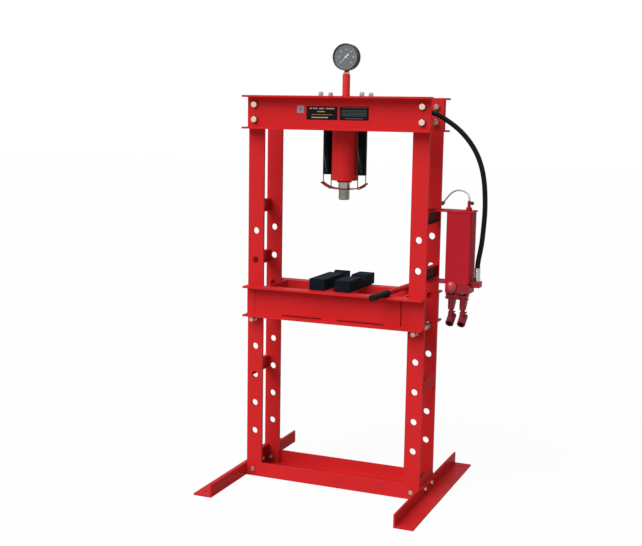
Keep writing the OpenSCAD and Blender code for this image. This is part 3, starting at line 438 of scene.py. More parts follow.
# %% [markdown]
# ## Finishes
#
# All surfaces of the press share one build-up: a colour that drifts a little over a hand's width
# or less, and a fine grain that moves both the gloss and the height. `coat` makes that graph from
# the real sizes in millimetres. Pieces that need a finish of their own get it in their own cells.


# %% The shared build-up
def coat(name, light, dark, grain, depth, rough, metallic=0.0, patch=160, stretch=(1, 1, 1),
         specular=0.5, alpha=1.0):
    """Colour drifts from light to dark over patch mm. Noise in cells of grain mm, mostly between
    0.3 and 0.7, moves the roughness within rough and the height by depth mm."""
    made = bpy.data.materials.new(name)
    tree = empty_tree(made)
    spot = add(tree, "TexCoord").outputs["Object"]
    scaled = add(tree, "Mapping", {"Vector": spot, "Scale": stretch}).outputs[0]
    drift = add(tree, "TexNoise", {"Vector": spot, "Scale": 1000 / patch, "Detail": 3.0})
    fine = add(tree, "TexNoise", {"Vector": scaled, "Scale": 1000 / grain, "Detail": 2.0})
    colour = add(tree, "Mix", {0: drift.outputs[0], 6: linear(light), 7: linear(dark)},
                 data_type="RGBA")
    gloss = add(tree, "MapRange", {0: fine.outputs[0], 1: 0.3, 2: 0.7, 3: rough[0], 4: rough[1]})
    bump = add(tree, "Bump", {"Height": fine.outputs[0], "Distance": depth * MM})
    shader = add(tree, "BsdfPrincipled", {
        "Base Color": colour.outputs[2], "Roughness": gloss.outputs[0], "Metallic": metallic,
        "Normal": bump.outputs[0], "Specular IOR Level": specular, "Alpha": alpha})
    add(tree, "OutputMaterial", {0: shader.outputs[0]})
    return made


print("finish maker ready")

# %% [markdown]
# Enamel on steel: sprayed and stoved, with the faint orange peel of spray paint, cells about 5 mm
# wide and a few hundredths of a millimetre deep. The pump is painted in a deeper red.

# %% Enamels
finishes["frame_red"] = coat("semi-gloss enamel, signal red", "#D92D2E", "#C82529",
                             5, 0.05, (0.42, 0.55), specular=0.04)
finishes["pump_red"] = coat("satin enamel, crimson", "#BC2330", "#A91E2A",
                            4, 0.05, (0.50, 0.62), specular=0.04)
print("enamels:", [finishes[s].name for s in ("frame_red", "pump_red")])

# %% [markdown]
# Metals. Zinc plating is a pale, slightly warm metal with small clouded spots; a darker, pinker
# copy of it on the pins and the base bolts is painted shade, and the blue kind is cooler. Hard
# chrome on the ram is ground and polished round, which leaves lines that run across its length;
# they are drawn 1.2 mm wide, coarser than real ones, so that they show. Its darker, warmer grey is
# painted reflection of the dark and red parts round it. The ram's end piece is turned steel with
# patches of tarnish. Brass fittings are dull.

# %% Metals
TURNED = (0.05, 0.05, 1)  # stretches the grain into lines round the Z axis
finishes["zinc"] = coat("zinc plated steel", "#DECBB5", "#C4B09A",
                        1.5, 0.02, (0.28, 0.48), 1.0, patch=14)
# A darker, pinker copy of the zinc: painted shade on the pins and the base bolts.
finishes["worn_zinc"] = coat("zinc plated steel, painted shade", "#CBA896", "#A2877A",
                             1.5, 0.02, (0.32, 0.5), 1.0, patch=14)
finishes["blue_zinc"] = coat("blue-passivated zinc plate", "#BDBCBA", "#A3A2A0",
                             1.5, 0.02, (0.28, 0.46), 1.0, patch=14)
# The chrome is a darker, warmer grey than polished chrome: painted reflection of the dark and red
# parts round it.
finishes["chrome_rod"] = coat("hard chrome, ground and polished, painted reflection", "#A59D9B", "#948D8B",
                              1.2, 0.006, (0.10, 0.22), 1.0, stretch=TURNED)
finishes["turned_steel"] = coat("turned steel, tarnished", "#8F918A", "#7A7263",
                                2, 0.01, (0.30, 0.46), 1.0, patch=22, stretch=TURNED)
finishes["brass"] = coat("dull brass", "#C9B288", "#A08A62", 2, 0.02, (0.35, 0.52), 1.0, patch=20)
print("metals:", [finishes[s].name for s in ("zinc", "chrome_rod", "turned_steel", "brass")])

# %% [markdown]
# Blacks. The press blocks are cast iron with a black oxide skin: rough to the hand and bluish where
# light grazes it. The springs are oiled black steel. The gauge case is stoved black enamel; knobs
# are moulded plastic; hose, grip and piston seal are rubber, which scatters light widely.

# %% Blacks and rubbers
finishes["black_iron"] = coat("black oxide on cast iron", "#1A222C", "#0F151C",
                              1.6, 0.12, (0.72, 0.86), patch=40, specular=0.03)
finishes["spring_black"] = coat("oiled black spring steel", "#0D0D0F", "#070708",
                                2, 0.01, (0.36, 0.48), specular=0.08)
finishes["gauge_black"] = coat("black stoved enamel", "#0F0F11", "#09090A",
                               3, 0.02, (0.40, 0.52), specular=0.06)
finishes["black_plastic"] = coat("moulded black plastic", "#161617", "#101011",
                                 0.8, 0.03, (0.38, 0.52), specular=0.25)
finishes["hose_rubber"] = coat("hose rubber", "#0C0C0E", "#070708",
                               1.2, 0.06, (0.45, 0.60), specular=0.10)
finishes["grip_rubber"] = coat("grip rubber", "#111113", "#0B0B0C",
                               1.0, 0.08, (0.50, 0.66), specular=0.12)
finishes["seal_rubber"] = coat("seal rubber", "#1A1A1B", "#121213",
                               1.0, 0.03, (0.5, 0.65), specular=0.25)
print("blacks:", sum("black" in m.name for m in finishes.values()))

# %% [markdown]
# Small finishes: the gauge's dial and needle, its window, the clear vent tube, and the printed
# plates on the head. The window is an acrylic sheet: mostly see-through, with a light reflection.

# %% Dial, needle, window, tube and plates
finishes["dial_grey"] = coat("satin printed dial", "#394348", "#323D42",
                             0.6, 0.004, (0.40, 0.50), patch=30)
finishes["needle_white"] = coat("white painted needle", "#EDEFEF", "#DDE0E0",
                                0.8, 0.004, (0.35, 0.45), patch=20)
finishes["window"] = coat("acrylic window", "#F2F4F6", "#E9ECF0",
                          40, 0.002, (0.03, 0.06), patch=60, alpha=0.07)
finishes["clear_tube"] = coat("milky vinyl tube", "#BFCBC8", "#AEBBB7",
                              2, 0.01, (0.25, 0.35), patch=30, specular=0.3)
finishes["plate_print"] = coat("printed aluminium plate", "#120C0C", "#0A0707",
                               0.5, 0.004, (0.40, 0.52), patch=30, specular=0.08)
print("finishes:", len(finishes))

# %% [markdown]
# ## The hydraulic hose
#
# The hose carries oil from the pump to the cylinder. It could be a Bezier curve with a round bevel;
# here a smooth cubic curve is worked out through its route and a circle is carried along it, so
# that its real length can be measured. It is 20 mm thick and stiff: it leaves the head level,
# arches over the side and comes straight down into the pump.


hose_points = [
    (78, 45, 1575), (104, 60, 1575), (134, 69, 1576), (172, 72, 1577), (215, 66, 1579),
    (260, 50, 1582), (305, 28, 1585), (340, 11, 1586), (378, 0, 1583), (426, 0, 1560),
    (474, 0, 1528), (515, 0, 1490), (550, 0, 1444), (577, 0, 1388), (593, 0, 1326),
    (600, 0, 1262), (602, 0, 1197), (599, 0, 1131), (594, 0, 1070), (588, 0, 1030),
    (583, 0, 1000), (581, 0, 980), (581, 0, 961)]
hose_line = smooth_route(hose_points, 6)
hose = dress("hydraulic_hose", "hydraulic_hose_rubber",
             [swept(hose_line, 10, 24, up=(0, 1, 0.02))])


# %% Fittings at the hose's two ends
def fitting(node, name, start, way, sleeve_start, sleeve):
    """A nipple and a hexagon from start, and a crimped sleeve from sleeve_start, along way."""
    shapes = [turned([(6.9, -8), (6.9, 1)], start, way, 24), hexagonal(start, way, 24, 16),
              turned(sleeve, sleeve_start, way)]
    return dress(node, name, shapes, finishes["blue_zinc"])


ferrule = [(8, 0), (11.2, 0), (12, 0.8), (12, 2.2), (11.1, 3.0), (11.1, 5.0), (12, 5.8),
           (12, 8.2), (11.1, 9.0), (11.1, 11.0), (12, 11.8), (12, 14.2), (11.1, 15.0),
           (11.1, 17.0), (12, 17.8), (12, 19.4), (11.4, 20), (9.9, 20)]
tall_ferrule = [(radius, height * 1.9) for radius, height in ferrule]
port = np.array([0, 0, 1575])  # on the cylinder's axis
port_way = np.array([np.cos(np.radians(30)), np.sin(np.radians(30)), 0])
head_fitting = fitting("hose_fitting_cylinder", "hose_fitting_head", 54.2 * port_way + port,
                       port_way, 70.1 * port_way + port, ferrule)
pump_fitting = fitting("hose_fitting_pump", "hose_fitting_low", (581, 0, 915),
                       Z_AXIS, (581, 0, 931), tall_ferrule)
print("fittings:", head_fitting.name, pump_fitting.name)

# %% [markdown]
# ## The vent tube
#
# A thin clear tube leads from the tank's vent valve to a clip on the rear post. It is made like the
# hose, but 7 mm thick, and it bends more easily.

# %% Vent tube
vent_points = [
    (537, 0, 1238), (537, 0, 1247), (535, 2, 1256), (529, 6, 1264), (520, 12, 1270),
    (508, 19, 1274), (496, 28, 1276), (483, 38, 1276), (470, 48, 1274), (457, 58, 1269),
    (445, 67, 1262), (434, 75, 1253), (424, 82, 1243), (415, 87, 1233), (407, 90, 1223),
    (402, 92, 1216)]
vent_line = smooth_route(vent_points, 2.5)
vent_tube = dress("vent_tube", "vent_tube_clear",
                  [swept(vent_line, 3.5, 16, up=(0.5, 0.85, 0.1))])

# %% [markdown]
# ## Frame, bed and welded parts
#
# Plates and rolled channels only need rounded edges: about 1 mm on heavy plate. The weld beads are
# rippled tubes laid into the corners that a welder would close.

# %% Frame steel
# The spacers sit between the posts, where the spray lands dry: the same red, but rougher.
dry_enamel = coat("enamel sprayed dry, signal red", "#E43A3C", "#D43234",
                  5, 0.05, (0.58, 0.70), specular=0.02)
for node in ("post_front_left", "post_front_right", "post_rear_left", "post_rear_right",
             "post_spacers", "base_spacers", "rail_front", "rail_rear", "foot_left", "foot_right",
             "head_beam_front", "head_beam_rear", "head_top_plate", "cylinder_mount_plate",
             "bed_channel_front", "bed_channel_rear", "bed_end_plates"):
    soften(node, 1.0, dry_enamel if node == "post_spacers" else None)

# %% Painted shade inside the right spacers
# The two right spacers open outwards; dark red sheets on their web and flanges are painted shade in
# the recess.
recess_shade_finish = coat("painted shade in the spacer recesses, dark red", "#7A3A36", "#5E2C2A",
                    3, 0.03, (0.65, 0.8), patch=40, specular=0.04)
OPEN_SPACERS = (937.5, 1165.5)  # heights of their middles
HALF_WIDTH = 85.8
# x from and to, z from and to: one sheet on the web, one on each flange.
shade_sheet_spans = [(379.8, 380.3, -22.4, 22.4), (380.0, 394.6, -22.6, -22.1),
                 (380.0, 394.6, 22.1, 22.6)]
shade_sheets = [slab((x0, -HALF_WIDTH, z + z0), (x1, HALF_WIDTH, z + z1), 0.1)
           for z in OPEN_SPACERS for x0, x1, z0, z1 in shade_sheet_spans]
piece("spacer_recess_painted_shade", shade_sheets, "frame_red", finish=recess_shade_finish)
print("linings:", len(shade_sheets))

# %% Beads on the frame
beads = [weld(circle_points((0, 0, 1646), 17), 2.6, True, Z_AXIS)]  # the gauge pipe's foot
# Each spacer's web is welded to both posts: the web's x, its middle and half its height.
spacer_webs = [(-394, 474, 26), (-394, 951, 26), (-394, 1176, 26), (394, 474, 26)]
spacer_webs += [(381.5, z, 21) for z in OPEN_SPACERS]
for x, z, half in spacer_webs:
    for y in (-84.5, 84.5):
        beads.append(weld([(x, y, z - half), (x, y, z + half)], 1.8))
piece("frame_weld_beads", beads, "frame_red")
print("beads on the frame:", len(beads))

# %% Beads on the bed
bed_beads = [weld([(x + offset, side * 99, 724), (x + offset, side * 99, 836)], 2.2)
             for x in (-304, 304) for offset in (-6, 6) for side in (-1, 1)]
piece("bed_weld_beads", bed_beads, "frame_red", "bed")
# Two seams run down the front channel's web, and two long stitch welds lie along its lower flange;
# their dark red is painted shade of the weld beads.
seam_shade_enamel = coat("enamel over a seam, painted shade", "#681114", "#560C0F",
                 4, 0.05, (0.6, 0.75), specular=0.05)
web_seams = [slab((x - half, -106.6, 723), (x + half, -105.4, 836), 0.2)
             for x, half in ((298, 2.2), (-357, 0.8))]
piece("bed_web_seams", web_seams, "frame_red", "bed", finish=seam_shade_enamel)
stitches = []
for x0, x1 in ((-230, -52), (20, 224)):
    line = [(x0, -107.2, 723.2), ((x0 + x1) / 2, -107.6, 723.6), (x1, -107.2, 723.2)]
    stitches.append(swept(smooth_route(line, 6), 3.5, 10))
piece("bed_stitch_welds", stitches, "frame_red", "bed", finish=seam_shade_enamel)
print("beads on the bed:", len(bed_beads), "and stitches:", len(stitches))

# %% [markdown]
# ## Bolts, nuts and washers
#
# A forged bolt head is a hexagon whose corners are turned off by a cone. The shape is the smaller
# of the two radii at every angle, so one formula gives the curved edges that real heads have. The
# shanks end in thread ridges, drawn every 2 mm.

# %% Bolts
PITCH = 2.0


def thread(diameter, start, end):
    """Turned profile whose radius drops by 0.3 of the pitch in every groove."""
    count = max(int((end - start) / PITCH), 1)
    z = np.linspace(start, end, 2 * count + 1)
    radius = diameter / 2 - np.where(np.arange(len(z)) % 2, 0.0, 0.3 * PITCH)
    return list(zip(radius.tolist(), z.tolist()))


def bolt(face, outward, size, shank):
    """Head outside the face, plain shank inwards with a threaded end."""
    inward = -np.array(outward, float)
    core, plain = size / 2 - 0.4, max(shank - 1.9 * size, 1)
    profile = [(core, -0.5), (core, plain)] + thread(size, plain + 0.5, shank - 1)
    return [hexagonal(face, outward, 1.5 * size, 0.65 * size), turned(profile, face, inward, 36)]


print("points in the profile of a 12 mm thread, 20 mm long:", len(thread(12, 0, 20)))

# %% Bolts in their places
washer = [(8.2, 0), (15.4, 0), (16, 0.6), (16, 2.4), (15.4, 3), (8.2, 3)]
stud_end = [(5.4, 1655), (6, 1655.5), (6, 1663), (5, 1664)]
bolts, base_bolts, nuts, washers, plate_bolts = [], [], [], [], []
for sx in (-1, 1):
    for sy in (-1, 1):
        outwards, sideways = (0, sy, 0), (sx, 0, 0)
        # Two 16 mm bolts hold the head to each post.
        for z in (1545, 1607):
            bolts += bolt((sx * 365, sy * 109, z), outwards, 16, 42.2)
            nuts.append(hexagonal((sx * 365, sy * 73.2, z), outwards, 24, 12.8))
            washers.append(turned(washer, (sx * 365, sy * 106, z), outwards, 40))
        # At the floor, 12 mm bolts hold the rails and the feet.
        base_bolts += bolt((sx * 362, sy * 104, 32), outwards, 12, 32.4)
        nuts.append(hexagonal((sx * 362, sy * 76.4, 32), outwards, 18, 9.6))
        base_bolts += bolt((sx * 403, sy * 46, 32), sideways, 12, 27.4)
        nuts.append(hexagonal((sx * 380.4, sy * 46, 32), sideways, 18, 9.6))
        # On the top plate, two nuts lie one on the other with the stud's end above them.
        plate_bolts += bolt((sx * 90, sy * 54, 1645), Z_AXIS, 12, 30.4)
        plate_bolts.append(hexagonal((sx * 90, sy * 54, 1652.8), Z_AXIS, 18, 9.2, turn=30))
        plate_bolts.append(turned(stud_end, (sx * 90, sy * 54, 0), sides=36))
print("bolts:", (len(bolts) + len(base_bolts)) // 2, "nuts:", len(nuts))

# %% Fasteners as pieces
# The washers are a dark brownish red: painted shade round the bolt heads.
washer_shade_enamel = coat("enamel on washers, painted shade", "#8C3D38", "#7A302D",
                     2, 0.03, (0.45, 0.6), patch=12, specular=0.15)
dress("frame_bolts", "frame_bolts_zinc", bolts)
piece("base_bolts_zinc", base_bolts, "zinc", finish=finishes["worn_zinc"])
# The nuts take the darker turned steel finish as painted shade.
dress("frame_nuts", "frame_nuts_zinc", nuts, finishes["turned_steel"])
dress("frame_washers", "frame_washers_painted", washers, washer_shade_enamel)
dress("top_plate_bolts", "top_plate_bolts_zinc", plate_bolts, finishes["blue_zinc"])
print("washers:", len(washers))

# %% [markdown]
# ## Plates on the head
#
# Two thin printed plates and a small badge sit on the front of the head. They carry plain bars of
# colour where a maker would print words: bars raised by the thickness of ink, a tenth of a
# millimetre.

# %% Plates
HEAD_FACE, PLATE_FACE = -106, -107.2
plates = dress("head_plates", "head_plates_printed", [
    slab((x0, PLATE_FACE, 1549), (x1, HEAD_FACE, 1603), 0.3)
    for x0, x1 in ((-130.5, 4.5), (15.5, 139.5))])
badge_grey = coat("anodised aluminium, grey", "#A79C9D", "#978C8D",
                  1.2, 0.006, (0.40, 0.52), patch=20, specular=0.2)
badge_blue = coat("printing ink, slate blue", "#6F8B98", "#627E8B",
                  1.2, 0.004, (0.40, 0.52), patch=20, specular=0.2)
badge = piece("head_badge", [slab((-172.5, PLATE_FACE, 1575), (-142.5, HEAD_FACE, 1605), 0.4)],
              "plate_print", finish=badge_grey)
disc = [(7.5, -0.3), (7.5, 0.1), (7.3, 0.15)]
piece("head_badge_disc", [turned(disc, (-157.5, PLATE_FACE, 1590), (0, -1, 0), 40)],
      "plate_print", finish=badge_blue)
print("plates:", plates.name, badge.name)

# %% Print and rivets
# Each ink's colour and its bars: x from and to, z from and to.
inks = {
    "cream": ("#BBA898", [(-118, -105, 1592, 1597), (-101, -82, 1592, 1597),
                          (-75, -53, 1592, 1597), (-46, -8, 1592, 1597),
                          (-108, -36, 1556, 1560)]),
    "ochre": ("#B5A060", [(-84, -50, 1580, 1584)]),
    "olive": ("#7F7D3C", [(-108, -18, 1568, 1571)]),
    "teal_grey": ("#3C5254", [(24, 131, 1553.5 + 5.6 * k, 1556.5 + 5.6 * k)
                              for k in range(2, 7)]),
    "mauve": ("#6C5A68", [(40, 118, 1554, 1557), (20, 136, 1597.5, 1600)])}
for colour, (code, bars) in inks.items():
    ink = coat("printing ink, " + colour, code, code, 0.5, 0.002, (0.35, 0.5), patch=30,
               specular=0.1)
    shapes = [slab((x0, PLATE_FACE - 0.1, z0), (x1, PLATE_FACE + 0.2, z1), 0.05)
              for x0, x1, z0, z1 in bars]
    piece("plate_bars_" + colour, shapes, "plate_print", finish=ink)
rivet = [(0.6, 1.3), (1.8, 0.9), (2.2, 0.2), (2.2, -1)]
rivets = [turned(rivet, (x, PLATE_FACE, z), (0, -1, 0), 20)
          for x in (-126, 0, 20, 135) for z in (1553, 1599)]
piece("plate_rivets", rivets, "plate_print")
print("inks:", len(inks), "rivets:", len(rivets))

# %% [markdown]
# ## Bed: pins, press blocks and the loose pump handle
#
# The bed rests on two steel pins. Two cast iron blocks with notches lie across the channels, and
# the pump handle is laid beside them: a red rod with a rubber grip that has ribs every 6 mm and a
# collar.

# %% Bed pins
pin_profile = [(8.5, 0), (10.6, 2), (10.6, 20), (9.6, 21), (9.6, 24), (10.6, 25), (10.6, 30),
               (12.5, 32), (12.5, 268), (10.5, 270)]
for node, x in (("bed_pin_left", -360), ("bed_pin_right", 360)):
    dress(node, node + "_zinc", [turned(pin_profile, (x, -140, 701.8), Y_AXIS)],
          finishes["worn_zinc"])
print("pins: 25 mm thick and 270 mm long")

# %% Press blocks
for node in ("press_block_left", "press_block_right"):
    soften(node, 1.6)
print("blocks: 70 x 300 x 48 mm")

# %% Pump handle
# It lies on both bed channels, and the first one meets it 147 mm from its end. The grip's radius
# is 2 mm more than the rod's, so the rod dips.
REST_Z, GRIP_RADIUS = 844.9, 13
CHANNEL_GAP, FIRST_REST = 254, 147
heading, dip = np.radians(3.9), np.arctan(2 / CHANNEL_GAP)
handle_way = np.array([np.sin(heading) * np.cos(dip), np.cos(heading) * np.cos(dip), -np.sin(dip)])
handle_start = np.array([228, -274, REST_Z + GRIP_RADIUS + FIRST_REST * np.tan(dip)])
ribs = [(radius, z + step) for z in np.arange(14, 150, 6.0)
        for radius, step in ((GRIP_RADIUS, 0), (GRIP_RADIUS, 3.4), (12.2, 3.9), (12.2, 5.5))]
grip = [(9, 0), (12, 0.8), (GRIP_RADIUS, 3)] + ribs
grip += [(GRIP_RADIUS, 154), (GRIP_RADIUS, 170), (12.2, 172)]
rod = [(10.6, 170), (11, 170.5), (11, 469), (10, 470)]
dress("pump_handle_grip", "pump_handle_grip_rubber", [turned(grip, handle_start, handle_way)])
dress("pump_handle_rod", "pump_handle_rod_painted", [turned(rod, handle_start, handle_way)])
print("handle starts at", np.round(handle_start, 1).tolist())

# %% [markdown]
# ## Cylinder, ram and yoke
#
# Barrel, gland, ram and its end piece are all turned. Hollow ones are a closed profile turned all
# the way round, so that they have an inside. The end piece shows a ridge from the lathe every 3 mm.

# %% Cylinder
barrel = [(45, 1301), (45.6, 1300), (52.8, 1300), (54, 1301.2), (54, 1612.6), (53.6, 1613),
          (8, 1613), (5, 1612.6), (5, 1593), (45, 1593)]
gland = [(25.1, 1292.6), (25.6, 1292), (30.2, 1292), (31, 1292.8), (31, 1300), (44.9, 1300),
         (44.9, 1340), (25.1, 1340)]
dress("cylinder_barrel", "cylinder_barrel_painted", [turned(barrel, sides=96, ring=True)])
dress("cylinder_gland", "cylinder_gland_painted", [turned(gland, sides=96, ring=True)])
piece("mount_weld_bead", [weld(circle_points((0, 0, 1611.5), 55.2), 2.6, True, Z_AXIS)],
      "frame_red")
print("barrel: 108 mm outside, 90 mm bore")

# %% Ram
ram = [(13.4, 1245.2), (14, 1245.8), (14, 1267), (24.2, 1267), (25, 1267.8), (25, 1536),
       (44.9, 1536), (44.9, 1547), (39, 1547), (39, 1555), (44.9, 1555), (44.9, 1565),
       (43.9, 1566)]
ridges = [(radius, z + step) for z in np.arange(1228, 1252, 3.0)
          for radius, step in ((23, 0), (23, 2.1), (22.6, 2.4), (22.6, 2.8))]
tip = [(12, 1219), (20, 1219), (23, 1222), (23, 1227)] + ridges
tip += [(23, 1253), (23, 1261.4), (22.4, 1262)]
seal = [(39.1, 1547.1), (44.95, 1547.1), (44.95, 1554.9), (39.1, 1554.9)]
dress("ram", "ram_chrome", [turned(ram, sides=96)])
dress("ram_tip", "ram_tip_turned", [turned(tip, sides=72)])
dress("piston_seal", "piston_seal_rubber", [turned(seal, sides=72, ring=True)])
# The yoke's red is darker than the frame's: painted shade.
soften("yoke", 0.8, coat("semi-gloss enamel, darkened as painted shade", "#A02428", "#86191E",
                         3, 0.04, (0.45, 0.6), patch=30, specular=0.04))
print("ram: 50 mm, stroke 150 mm")

# %% [markdown]
# ## Return springs
#
# Each spring is a wire wound close, so the coil is one helix: the wire's centre goes round the
# spring's axis and rises by a little more than the wire's thickness each turn. A ring at the top
# hangs on a lug under the head, and a wire loop at the bottom passes through two holes in the yoke
# and under it. On the real press the upper end stays with the head and the lower end goes with the
# ram; here each spring is one piece that rides on no body.

# %% Springs
SPRING_X, COIL_RADIUS, WIRE_RADIUS = 77, 18, 2.0


def spring(side):
    """helix: x = side * 77 + 18 cos a, y = 18 sin a, z rising 4.15 mm a turn."""
    low_z, high_z, rise = 1324.2, 1576.4, 4.15
    middle, near, far = side * SPRING_X, side * 59.3, side * 94.7
    a = np.linspace(0, 2 * np.pi * (high_z - low_z) / rise, int((high_z - low_z) / rise * 22))
    z = np.linspace(low_z, high_z, len(a))
    coil = np.stack([middle + COIL_RADIUS * np.cos(a), COIL_RADIUS * np.sin(a), z], -1)
    hook = circle_points((middle, 0, 1589), 10.5, Y_AXIS, 40)
    legs = smooth_route([
        (far, 0, 1325), (far, 0, 1300), (far, 0, 1286), (side * 93.9, 0, 1280.4),
        (side * 90, 0, 1276.2), (middle, 0, 1270.1), (side * 64, 0, 1264.1),
        (side * 60.3, 0, 1264.6), (near, 0, 1269), (near, 0, 1282), (near, 0, 1300),
        (near, 0, 1325)], 2.0)
    cap = [(18, 1575.5), (19.6, 1576.4), (18, 1578.4), (8, 1578.6)]
    foot = [(16, 1322.6), (19, 1323.4), (19, 1325), (16, 1326)]
    return [swept(coil, WIRE_RADIUS, 8, Z_AXIS), swept(hook, WIRE_RADIUS, 12, Y_AXIS, True),
            swept(legs, WIRE_RADIUS, 10), turned(cap, (middle, 0, 0), sides=40),
            turned(foot, (middle, 0, 0), sides=40)]


for name, side in (("spring_left", -1), ("spring_right", 1)):
    made = piece(name + "_coil", spring(side), slot_of[name], None, [name])
    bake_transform(made)
print("springs: 61 turns each")

# %% [markdown]
# ## Pressure gauge
#
# A round case on a pipe. The case is turned about the Y axis, because the gauge faces the front.
# The dial's ticks and numbers are thin raised shapes: a texture would need an image, and raised
# marks stay sharp at any distance. Numbers are text turned into meshes.

# %% Pipe, adapter and case
GAUGE_Z = 1805


def gauge_ring(profile, ring=False):
    """A (radius, y) profile turned about the gauge's axis."""
    return turned(profile, (0, 0, GAUGE_Z), Y_AXIS, 96, ring)


# The pipe's red is lighter than the frame's: painted highlight on the round tube; its gloss is its
# own.
tube_highlight_enamel = coat("gloss enamel on a tube, signal red", "#E23A37", "#D4302F",
                   4, 0.03, (0.28, 0.38), specular=0.2)
pipe = [(8, 1613), (16, 1613), (16, 1734.6), (14.8, 1736), (8, 1736)]
dress("gauge_pipe", "gauge_pipe_painted", [turned(pipe, sides=64)], tube_highlight_enamel)
dress("gauge_adapter", "gauge_adapter_brass", [hexagonal((0, 0, 1736), Z_AXIS, 22.4, 9),
                                               turned([(4.9, 1724), (4.9, 1736.5)], sides=32)])
case = [(40, 19), (52.8, 19), (54, 17.8), (54, -17.4), (52.6, -17.6), (52.4, -8.9)]
dress("gauge_case", "gauge_case_black", [gauge_ring(case)])
polish = coat("polished black bezel", "#3C3C3F", "#333336", 3, 0.005, (0.10, 0.16))
bezel = [(52.5, -17.0), (54.5, -17.1), (55, -17.8), (55, -19.4), (54.6, -20.8), (53.8, -21.7),
         (52.8, -22), (51.7, -21.8), (51.0, -21.2), (50.8, -20.3), (50.8, -19.2), (52.4, -19)]
piece("gauge_bezel", [gauge_ring(bezel, True)], slot_of["gauge_case"], finish=polish)
dark_brass = coat("tarnished brass", "#5A4A34", "#43382A", 2, 0.02, (0.4, 0.55), 1.0, patch=12)
piece("gauge_socket_block", [slab((-8, -4, 1745), (8, 12, 1758), 0.8)], slot_of["gauge_adapter"],
      finish=dark_brass)
print("case: 110 mm across its bezel and 41 mm deep")

# %% Dial marks
SWEEP = 135  # degrees from the top to either end of the scale
DIAL_FACE, MARK_FACE, TICKS_END = -10.0, -10.15, 45.5


def dial_boxes(angles, inner, width):
    """Boxes from inner to the ticks' end at each angle, clockwise from the top:
    x = r sin a, z = r cos a."""
    a = np.radians(np.array(angles, float))
    along = np.stack([np.sin(a), np.zeros_like(a), np.cos(a)], -1)
    across = np.stack([np.cos(a), np.zeros_like(a), -np.sin(a)], -1) * width / 2
    shapes = []
    for way, half in zip(along, across):
        base = np.stack([inner * way - half, inner * way + half,
                         TICKS_END * way + half, TICKS_END * way - half])
        back, front = base + [0, DIAL_FACE + 0.1, GAUGE_Z], base + [0, MARK_FACE, GAUGE_Z]
        shapes.append((np.concatenate([back, front]), grid_faces(2, 4)))
    return shapes


dial = [(1.3, -9), (52.3, -9), (52.3, -9.9), (52.2, DIAL_FACE), (1.3, DIAL_FACE)]
dial_plate = dress("gauge_dial", "gauge_dial_plate", [gauge_ring(dial, True)])
light_print = coat("light printing ink", "#C6CCCC", "#BCC3C3", 0.6, 0.003, (0.35, 0.5), patch=20)
minor, middling, major = (np.linspace(-SWEEP, SWEEP, count) for count in (61, 31, 7))
marks = dial_boxes(minor, 42.5, 0.5) + dial_boxes(middling, 41.5, 0.8)
marks += dial_boxes(major, 38.5, 1.4)
marks.append(gauge_ring([(TICKS_END, -9.9), (46.1, -9.9), (46.1, MARK_FACE),
                         (TICKS_END, MARK_FACE)], True))
piece("gauge_dial_marks", marks, slot_of["gauge_dial"], finish=light_print)
print("dial plate:", [round(v, 3) for v in dial_plate.dimensions])
print("ticks:", len(minor), "of them long:", len(major))

# %% Numbers
NUMBER_RADIUS, NUMBER_SIZE, NUMBER_RISE = 31, 9.5, 0.15
upright = Matrix.Rotation(np.pi / 2, 4, "X") @ Matrix.Scale(MM, 4)
for value, angle in zip(range(0, 70, 10), np.radians(major)):
    text = bpy.data.curves.new("number", "FONT")
    text.body, text.size, text.extrude = str(value), NUMBER_SIZE, NUMBER_RISE
    text.align_x, text.align_y = "CENTER", "CENTER"
    holder = new_object("number", text)
    bpy.context.view_layer.update()
    depsgraph = bpy.context.evaluated_depsgraph_get()
    mesh = bpy.data.meshes.new_from_object(holder.evaluated_get(depsgraph))
    bpy.data.objects.remove(holder)
    x, z = NUMBER_RADIUS * np.sin(angle), NUMBER_RADIUS * np.cos(angle)
    where = np.array([x, DIAL_FACE - 0.1, GAUGE_Z + z]) * MM
    mesh.transform(Matrix.Translation(where.tolist()) @ upright)
    place("gauge_number_%02d" % value, mesh, slot_of["gauge_dial"], "frame", finish=light_print,
          smooth=30)
print("numbers: 0 to 60")

# %% [markdown]
# The needle turns on its own body. It is a thin tapered pointer with a hub and a broad tail that
# balances it; its outline is the same polygon at two depths. The window is a slightly domed disc.

# %% Needle and window
outline = np.array([(-4.0, -14.6), (-2.2, -16.2), (2.2, -16.2), (4.0, -14.6), (2.2, -4),
                    (1.4, 0), (0.4, 37), (-0.4, 37), (-1.4, 0), (-2.2, -4)])
x, z = outline.T
rest = np.radians(-SWEEP)
spun_x, spun_z = x * np.cos(rest) + z * np.sin(rest), -x * np.sin(rest) + z * np.cos(rest)
pointer = [np.column_stack([spun_x, np.full(len(outline), y), spun_z + GAUGE_Z])
           for y in (-11.0, -12.1)]
hub = [(1.15, -4.3), (1.15, -11), (4.5, -11), (4.5, -12.0), (3.4, -12.3)]
dress("gauge_needle", "gauge_needle_white", [
    (np.concatenate(pointer), grid_faces(2, len(outline))),
    turned(hub, (0, 0, GAUGE_Z), Y_AXIS, 40)])
WINDOW_RADIUS = 52.3
dome = [(r, -17.6 - 1.3 * (1 - (r / WINDOW_RADIUS) ** 2))
        for r in np.linspace(WINDOW_RADIUS, 2, 12)]
dress("gauge_glass", "gauge_window", [gauge_ring([(2, -17.1), (WINDOW_RADIUS, -17.1)] + dome)])
frame["nodes"]["bourdon_tube"].data.materials.clear()
frame["nodes"]["bourdon_tube"].data.materials.append(finishes["brass"])
print("needle at rest points", -SWEEP, "degrees from the top")

# %% [markdown]
# ## Pump: tank, body, levers and knobs
#
# The tank is folded sheet closed by the two bracket plates, with a seam bead at top and bottom. The
# pump body below it is a casting with softer edges. The levers, plungers and knobs each ride on
# their own body.

